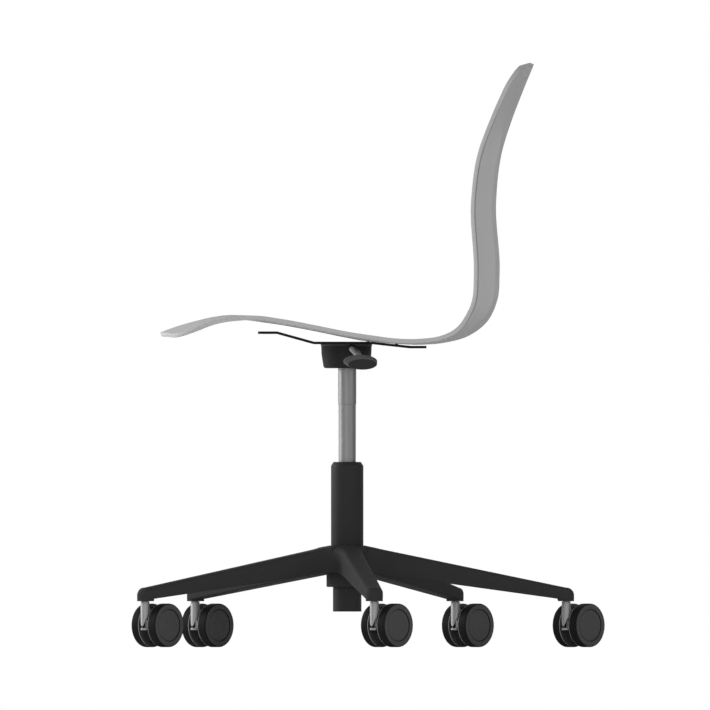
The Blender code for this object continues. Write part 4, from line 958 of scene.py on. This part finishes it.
def make_gas_cylinder():
    step = HOUSING_BOTTOM - CYLINDER_STEP_DROP
    bore_bottom = CYLINDER_TOP - BUTTON_BORE_DEPTH
    chamber_top = bore_bottom - CHAMBER_CEILING
    chamber_bottom = CYLINDER_BOTTOM + CHAMBER_FLOOR
    corners = (
        (0.0, bore_bottom, 0.0),
        (BUTTON_BORE, bore_bottom, 0.0),
        (BUTTON_BORE, CYLINDER_TOP, 0.0),
        (CYLINDER_RADIUS - CYLINDER_TAPER, CYLINDER_TOP, CYLINDER_TOP_EDGE),
        (CYLINDER_RADIUS, HOUSING_BOTTOM, 0.0),
        (CYLINDER_RADIUS, step, CYLINDER_STEP_EDGE),
        (CYLINDER_SLIDE, step, CYLINDER_STEP_HOLLOW),
        (CYLINDER_SLIDE, CYLINDER_BOTTOM, CYLINDER_FOOT_EDGE),
        (CYLINDER_ROD_HOLE, CYLINDER_BOTTOM, 0.0),
        (CYLINDER_ROD_HOLE, chamber_bottom, 0.0),
        (CHAMBER_RADIUS, chamber_bottom, 0.0),
        (CHAMBER_RADIUS, chamber_top, 0.0),
        (0.0, chamber_top, 0.0),
    )
    dress("gas_cylinder", mesh_from(spun(corners, closed=False), "gas_cylinder"), CHROME)


# Star base
def leg_half_width(x):
    """Return a leg's half width, with its web and round tip, at a distance from the column's axis."""
    if x > LEG_TIP:
        return math.sqrt(max(0.0, LEG_TIP_HALF_WIDTH**2 - (x - LEG_TIP) ** 2))
    share = (x - LEG_ROOT) / (LEG_TIP - LEG_ROOT)
    straight = LEG_ROOT_HALF_WIDTH + (LEG_TIP_HALF_WIDTH - LEG_ROOT_HALF_WIDTH) * share
    web_x, web_y = web_centre()
    if x < web_x:
        return max(straight, web_y - math.sqrt(LEG_WEB_RADIUS**2 - (x - web_x) ** 2))
    return straight


def web_centre():
    """Return the centre of the round web between two legs, along and across one of them."""
    distance = (LEG_ROOT_HALF_WIDTH + LEG_WEB_RADIUS) / math.sin(LEG_HALF_ANGLE)
    return distance * math.cos(LEG_HALF_ANGLE), distance * math.sin(LEG_HALF_ANGLE)


def web_start():
    """Return how far along a leg its web meets the next leg's web."""
    return (math.hypot(*web_centre()) - LEG_WEB_RADIUS) * math.cos(LEG_HALF_ANGLE)


def leg_stations():
    """Return the places along a leg where its section is set, closer at the web and the tip."""
    start = web_start()
    web_x = web_centre()[0]
    web = [web_x - (web_x - start) * math.cos(angle) for angle in quarter_turn(LEG_WEB_ROWS)[:-1]]
    body = list(np.linspace(web_x, LEG_TIP, LEG_ROWS))
    tip = [LEG_TIP + LEG_TIP_HALF_WIDTH * math.sin(angle) for angle in quarter_turn(LEG_TIP_ROWS)[1:]]
    return web + body + tip


def leg_section(x):
    """Return the section of a leg as points across and up."""
    half_width = max(leg_half_width(x), LEG_END_HALF_WIDTH)
    tip_top = TIP_BOTTOM + LEG_TIP_RISE
    share = min(1.0, (x - LEG_ROOT) / (LEG_TIP - LEG_ROOT))
    top = HUB_TOP + (tip_top - HUB_TOP) * share
    bottom = top - LEG_ROOT_DEPTH - (LEG_TIP_DEPTH - LEG_ROOT_DEPTH) * share
    if x > LEG_TIP:
        top -= (LEG_TIP_RISE - LEG_TIP_WALL) * (1.0 - half_width / LEG_TIP_HALF_WIDTH)
    top_round = min(LEG_TOP_ROUND, LEG_ROUND_SHARE * half_width)
    bottom_round = min(LEG_BOTTOM_ROUND, LEG_ROUND_SHARE * half_width)
    return rounded(
        (
            (-half_width, bottom, bottom_round),
            (half_width, bottom, bottom_round),
            (half_width, top, top_round),
            (-half_width, top, top_round),
        ),
        closed=True,
    )


def add_leg(shape, angle):
    """Add one leg's skin, open where it meets the hub, turned to its place."""
    stations = leg_stations()
    sections = [leg_section(x) for x in stations]
    around = len(sections[0])
    made = bmesh.ops.create_grid(shape, x_segments=len(stations) - 1, y_segments=around, size=1.0)
    for vertex in made["verts"]:
        station = grid_place(vertex.co.x, len(stations))
        point = sections[station][grid_place(vertex.co.y, around + 1) % around]
        vertex.co = (stations[station], point.x, point.y)
    bmesh.ops.rotate(
        shape, verts=made["verts"], cent=(0.0, 0.0, 0.0), matrix=Matrix.Rotation(angle, 3, "Z")
    )


def make_boss(stem):
    """Make the boss under a leg's tip, with the inner corner of its foot cut off on a slant."""
    outward = stem.normalized()
    middle = outward * LEG_TIP + Vector((0.0, 0.0, TIP_BOTTOM + LEG_TIP_WALL / 2))
    shape = round_bar(BOSS_RADIUS, LEG_TIP_WALL, Matrix.Translation(middle))
    bmesh.ops.bisect_plane(
        shape,
        geom=shape.verts[:] + shape.edges[:] + shape.faces[:],
        plane_co=stem - outward * BOSS_INNER_FOOT + Vector((0.0, 0.0, TIP_BOTTOM)),
        plane_no=-outward * BOSS_SLANT_RISE - Vector((0.0, 0.0, BOSS_SLANT_RUN)),
        clear_outer=True,
    )
    bmesh.ops.holes_fill(shape, edges=[edge for edge in shape.edges if edge.is_boundary], sides=0)
    bmesh.ops.recalc_face_normals(shape, faces=shape.faces)
    return mesh_from(shape, "boss")


def make_star_base():
    shape = bmesh.new()
    for stem in STEMS:
        add_leg(shape, math.atan2(stem.y, stem.x))
    bmesh.ops.remove_doubles(shape, verts=shape.verts, dist=LEG_WEB_MERGE)
    ends = [
        edge
        for edge in shape.edges
        if edge.is_boundary and min(vertex.co.xy.length for vertex in edge.verts) > LEG_TIP
    ]
    bmesh.ops.holes_fill(shape, edges=ends, sides=0)
    web_bottom = leg_section(web_start())[0].y
    wide = COLUMN_RADIUS + FIT_GAP
    narrow = COLUMN_FOOT_RADIUS + FIT_GAP
    hub_corners = (
        (wide + HUB_RIM_WALL, HUB_TOP, 0.0),
        (wide, HUB_TOP, 0.0),
        (wide, TAPER_TOP, 0.0),
        (narrow, TAPER_TOP - TAPER_HEIGHT, 0.0),
        (narrow, HUB_BOTTOM, HUB_BORE_EDGE),
        (HUB_RADIUS, HUB_BOTTOM, HUB_EDGE),
        (HUB_RADIUS, web_bottom, 0.0),
    )
    hub = spun(hub_corners, HUB_STEPS, closed=False)
    shape.from_mesh(mesh_from(hub, "hub"))
    loops = [edge for edge in shape.edges if edge.is_boundary]
    middle = (HUB_TOP + web_bottom) / 2
    upper = [edge for edge in loops if sum(vertex.co.z for vertex in edge.verts) / 2 > middle]
    lower = [edge for edge in loops if edge not in upper]
    bmesh.ops.bridge_loops(shape, edges=upper)
    bmesh.ops.bridge_loops(shape, edges=lower)
    tidy(shape)
    mesh = mesh_from(shape, "star_base")
    tools = [("UNION", make_boss(stem)) for stem in STEMS]
    hole_middle = TIP_BOTTOM + SOCKET_HOLE_DEPTH / 2 - SOCKET_HOLE_START / 2
    hole_length = SOCKET_HOLE_DEPTH + SOCKET_HOLE_START
    for stem in STEMS:
        place = Matrix.Translation((stem.x, stem.y, hole_middle))
        tools.append(("DIFFERENCE", bar(SOCKET_HOLE_RADIUS, hole_length, place)))
    dress("star_base", carved(mesh, *tools), NYLON)


# Casters
def make_fork_mesh():
    """Make a caster fork about its stem's axis; it trails along +X and its axle runs along Y."""
    stem_top = CASTER_TOP + STEM_LENGTH
    corners = (
        (0.0, stem_top, 0.0),
        (STEM_RADIUS, stem_top, STEM_EDGE),
        (STEM_RADIUS, CASTER_TOP, 0.0),
        (BARREL_RADIUS, CASTER_TOP, BARREL_TOP_EDGE),
        (BARREL_RADIUS, BARREL_FOOT, BARREL_FOOT_EDGE),
        (0.0, BARREL_FOOT, 0.0),
    )
    barrel = mesh_from(spun(corners, SMALL_STEPS, closed=False), "barrel")
    window = prism(FORK_WINDOW, 2 * BARREL_RADIUS)
    arm = bmesh.new()
    bmesh.ops.create_cube(arm, size=1.0)
    for vertex in arm.verts:
        at_axle = vertex.co.x > 0.0
        high = WHEEL_RADIUS + FORK_ARM_END_HALF if at_axle else FORK_ARM_ROOT_TOP
        low = WHEEL_RADIUS - FORK_ARM_END_HALF if at_axle else FORK_ARM_ROOT_BOTTOM
        vertex.co.x = CASTER_TRAIL if at_axle else 0.0
        vertex.co.y = math.copysign(FORK_ARM_HALF_WIDTH, vertex.co.y)
        vertex.co.z = high if vertex.co.z > 0.0 else low
    bevel(arm, arm.edges, FORK_ARM_EDGE, EDGE_STEPS)
    axle = Matrix.Translation((CASTER_TRAIL, 0.0, WHEEL_RADIUS)) @ Matrix.Rotation(math.pi / 2, 4, "X")
    return carved(
        barrel,
        ("DIFFERENCE", window),
        ("UNION", block(*FORK_STRIP)),
        ("UNION", mesh_from(arm, "arm")),
        ("UNION", bar(FORK_EYE_RADIUS, WHEEL_SPACE - 2 * FIT_GAP, axle)),
        ("DIFFERENCE", bar(AXLE_RADIUS + FIT_GAP, 2 * WHEEL_SPACE, axle)),
    )


def make_wheel_mesh():
    """Make a wheel about Z, outer face up: a tyre on a disc whose lip shows at the inner edge, with a
    painted highlight on the lip.
    """
    top = WHEEL_WIDTH / 2
    bottom = -WHEEL_WIDTH / 2
    recess_floor = top - CAP_RECESS
    trough_floor = bottom + TROUGH_DEPTH
    bore = AXLE_RADIUS + FIT_GAP
    recess = CAP_RADIUS + FIT_GAP
    corners = (
        (bore, recess_floor, 0.0),
        (recess, recess_floor, 0.0),
        (recess, top, WHEEL_RECESS_EDGE),
        (WHEEL_RADIUS, top, WHEEL_SHOULDER),
        (WHEEL_RADIUS, bottom + WHEEL_LIP, 0.0),
        (WHEEL_RADIUS - WHEEL_LIP_DROP, bottom, WHEEL_LIP_EDGE),
        (TROUGH_OUTER, bottom, TROUGH_EDGE),
        (TROUGH_OUTER - TROUGH_SLOPE, trough_floor, TROUGH_ROUND),
        (TROUGH_INNER + TROUGH_SLOPE, trough_floor, TROUGH_ROUND),
        (TROUGH_INNER, bottom, TROUGH_EDGE),
        (bore, bottom, 0.0),
    )
    tyre, disc, lip = 0, 1, 2

    def finish(face):
        # Slanted faces at the rim take the paler grey, a painted highlight along the lip
        at_rim = face.center.xy.length > WHEEL_RADIUS - WHEEL_LIP
        if at_rim and WHEEL_LIP_HIGHLIGHT_FACING[0] < face.normal.z < WHEEL_LIP_HIGHLIGHT_FACING[1]:
            return lip
        return disc if abs(face.normal.z) > WHEEL_DISC_FACING else tyre

    return marked(mesh_from(spun(corners), "wheel"), finish)


def make_cap_mesh():
    """Make a wheel cap about Z: a shallow dome with a rounded edge."""
    top = WHEEL_WIDTH / 2
    floor = top - CAP_RECESS + FIT_GAP
    corners = (
        (0.0, top, 0.0),
        (CAP_CROWN_RADIUS, top - CAP_CROWN_DROP, CAP_CROWN_ROUND),
        (CAP_RADIUS, top - CAP_EDGE_DROP, CAP_EDGE),
        (CAP_RADIUS, floor, 0.0),
        (0.0, floor, 0.0),
    )
    return mesh_from(spun(corners, closed=False), "cap")


def make_casters():
    fork = make_fork_mesh()
    wheel = make_wheel_mesh()
    cap = make_cap_mesh()
    for number, stem in enumerate(STEMS, start=1):
        swivel = Matrix.Translation(stem) @ Matrix.Rotation(CASTER_YAW, 4, "Z")
        fork_copy = fork.copy()
        fork_copy.transform(swivel)
        dress(f"caster_fork_{number}", fork_copy, DIE_CAST)
        for side_name, side in (("near", -1.0), ("far", 1.0)):
            offset = side * (WHEEL_SPACE + WHEEL_WIDTH) / 2
            hub = Matrix.Translation((CASTER_TRAIL, offset, WHEEL_RADIUS))
            facing = Matrix.Rotation(-side * math.pi / 2, 4, "X")
            for node, mesh, materials in (
                (f"caster_wheel_{number}_{side_name}", wheel, (TYRE, GREY_PLASTIC, LIP_PAINTED_HIGHLIGHT)),
                (f"wheel_cap_{number}_{side_name}", cap, (GREY_PLASTIC,)),
            ):
                copy = mesh.copy()
                copy.transform(swivel @ hub @ facing)
                dress(node, copy, *materials)


# Height lever
def tube(route, thickness):
    """Make a round tube along a smooth route of points that each give a share of the thickness."""
    curve = bpy.data.curves.new("tube", "CURVE")
    curve.dimensions = "3D"
    curve.bevel_depth = thickness
    curve.bevel_resolution = TUBE_STEPS
    curve.use_fill_caps = True
    curve.resolution_u = TUBE_STEPS
    spline = curve.splines.new("NURBS")
    spline.points.add(len(route) - 1)
    for point, (x, y, z, share) in zip(spline.points, route):
        point.co = (x, y, z, 1.0)
        point.radius = share
    spline.order_u = 3
    spline.use_endpoint_u = True
    shape = bmesh.new()
    shape.from_mesh(worked(curve, []))
    tidy(shape)
    bmesh.ops.translate(shape, verts=shape.verts, vec=LEVER_PIVOT)
    return mesh_from(shape, "tube")


def make_lever_rod():
    pin = Matrix.Translation(LEVER_PIVOT) @ Matrix.Rotation(math.pi / 2, 4, "Y")
    rod = carved(
        tube(LEVER_ROUTE, LEVER_ROD_RADIUS),
        ("UNION", bar(LEVER_EYE_RADIUS, 2 * LEVER_EYE_RADIUS, pin)),
        ("DIFFERENCE", bar(LEVER_PIN_HOLE_RADIUS, 4 * LEVER_EYE_RADIUS, pin)),
    )
    dress("lever_rod", rod, ROD_COAT_AND_PAINTED_LIGHT)


def make_lever_paddle():
    shape = bmesh.new()
    bmesh.ops.create_cone(
        shape,
        cap_ends=True,
        segments=ROUND_STEPS,
        radius1=PADDLE_HALF_LENGTH * PADDLE_TAPER,
        radius2=PADDLE_HALF_LENGTH,
        depth=PADDLE_THICKNESS,
    )
    rims = [
        edge for edge in shape.edges if abs(edge.verts[0].co.z - edge.verts[1].co.z) < MERGE_DISTANCE
    ]
    bevel(shape, rims, PADDLE_EDGE, PADDLE_EDGE_STEPS)
    for vertex in shape.verts:
        below_top = PADDLE_THICKNESS / 2 - vertex.co.z
        vertex.co.x += PADDLE_LEAN * below_top / PADDLE_THICKNESS
        vertex.co.y *= PADDLE_HALF_DEPTH / PADDLE_HALF_LENGTH
        vertex.co.z = -below_top
    rod_end = Vector(LEVER_ROUTE[-1][:3])
    run = (rod_end - Vector(LEVER_ROUTE[-2][:3])).normalized()
    place = Matrix.Translation(LEVER_PIVOT + rod_end - run * ROD_SEAT_DEPTH)
    bmesh.ops.transform(shape, matrix=place @ Matrix.Rotation(-PADDLE_TILT, 4, "X"), verts=shape.verts)
    longer = (*(rod_end + run * FIT_GAP), LEVER_ROUTE[-1][3])
    seat = tube(LEVER_ROUTE[:-1] + (longer,), LEVER_ROD_RADIUS + FIT_GAP)
    paddle = carved(mesh_from(shape, "paddle"), ("DIFFERENCE", seat))
    down = Matrix.Rotation(-PADDLE_TILT, 3, "X") @ Vector((0.0, 0.0, -1.0))
    # The faces turned downward take the darker material, painted shade on the paddle's face
    paddle = marked(paddle, lambda face: int(face.normal.dot(down) > PADDLE_SHADE_FACING))
    dress("lever_paddle", paddle, LEVER_NYLON, PADDLE_FACE_PAINTED_SHADE)


# Stage: floor, light and camera
def make_floor():
    shape = bmesh.new()
    bmesh.ops.create_circle(shape, cap_ends=True, segments=FLOOR_STEPS, radius=FLOOR_RADIUS)
    floor = placed("floor", mesh_from(shape, "floor"))
    floor.location.z = -FLOOR_DROP
    material, shader = new_material("studio_floor", roughness=0.9)
    shader.inputs["Base Color"].default_value = linear("#F6F6F6")
    floor.data.materials.append(material)


def make_world():
    """Set white for the camera, and a soft studio, brightest before the chair, for the light on it."""
    world = bpy.data.worlds.new("studio")
    bpy.context.scene.world = world
    world.use_nodes = True
    tree = world.node_tree
    tree.nodes.clear()
    direction = add_node(tree, "ShaderNodeTexCoord").outputs["Generated"]
    axes = add_node(tree, "ShaderNodeSeparateXYZ", links={"Vector": direction}).outputs
    sides = (("Z", 1.0, SKY_LEVEL), ("Y", -1.0, FRONT_LEVEL), ("Y", 1.0, REAR_LEVEL))
    level = None
    for axis, end, strength in sides:
        share = add_node(
            tree,
            "ShaderNodeMapRange",
            {"From Min": 0.0, "From Max": end, "To Min": 0.0, "To Max": strength},
            {"Value": axes[axis]},
        ).outputs["Result"]
        if level is None:
            level = share
            continue
        level = add_node(
            tree, "ShaderNodeMath", links={0: level, 1: share}, operation="ADD"
        ).outputs["Value"]
    studio = add_node(tree, "ShaderNodeBackground", {"Color": WHITE}, {"Strength": level})
    backdrop = add_node(tree, "ShaderNodeBackground", {"Color": WHITE, "Strength": 1.0})
    rays = add_node(tree, "ShaderNodeLightPath").outputs
    behind = add_node(
        tree,
        "ShaderNodeMapRange",
        {"From Min": BACKDROP_START, "From Max": BACKDROP_FULL, "To Min": 0.0, "To Max": 1.0},
        {"Value": axes["Y"]},
    ).outputs["Result"]
    mirrored = add_node(
        tree, "ShaderNodeMath", links={0: rays["Is Glossy Ray"], 1: behind}, operation="MULTIPLY"
    ).outputs["Value"]
    direct = add_node(
        tree,
        "ShaderNodeMath",
        links={0: rays["Is Camera Ray"], 1: rays["Is Transmission Ray"]},
        operation="MAXIMUM",
    ).outputs["Value"]
    seen = add_node(
        tree, "ShaderNodeMath", links={0: direct, 1: mirrored}, operation="MAXIMUM"
    ).outputs["Value"]
    mix = add_node(
        tree,
        "ShaderNodeMixShader",
        links={"Fac": seen, 1: studio.outputs["Background"], 2: backdrop.outputs["Background"]},
    )
    add_node(tree, "ShaderNodeOutputWorld", links={"Surface": mix.outputs["Shader"]})


def add_lamp(name, place, size, power):
    """Add a soft area lamp that faces the chair."""
    light = bpy.data.lights.new(name, "AREA")
    light.shape = "RECTANGLE"
    light.size, light.size_y = size
    light.energy = power
    lamp = placed(name, light)
    lamp.location = place
    lamp.rotation_euler = (Vector(LAMP_AIM) - Vector(place)).to_track_quat("-Z", "Y").to_euler()


def make_camera():
    """Set a camera that looks level along +Y with parallel rays, framed as the photograph is."""
    data = bpy.data.cameras.new("camera")
    data.type = "ORTHO"
    data.ortho_scale = PHOTO_PIXELS * PIXEL
    camera = placed("camera", data)
    middle = PHOTO_PIXELS / 2
    across = (middle - COLUMN_PIXEL) * PIXEL
    camera.location = (across, -CAMERA_DISTANCE, (FLOOR_PIXEL - middle) * PIXEL)
    camera.rotation_euler = (math.pi / 2, 0.0, 0.0)
    bpy.context.scene.camera = camera


make_shell()
make_plate()
make_housing()
make_column()
make_guide_sleeve()
make_gas_cylinder()
make_star_base()
make_casters()
make_lever_rod()
make_lever_paddle()
coat(ZINC_PLATE, "lift_socket", "lever_pin", "release_button")
coat(ZINC_PLATE, "piston_rod", "retaining_clip", "thrust_bearing", *FASTENERS)
coat(ZINC_PLATE, *[node for node in NODES if node.startswith(("caster_socket", "caster_axle"))])
coat(RUBBER, "buffer_ring")

make_floor()
make_world()
make_camera()
for lamp_name, lamp_values in LAMPS.items():
    add_lamp(lamp_name, *lamp_values)
bpy.context.scene.view_settings.view_transform = "Standard"
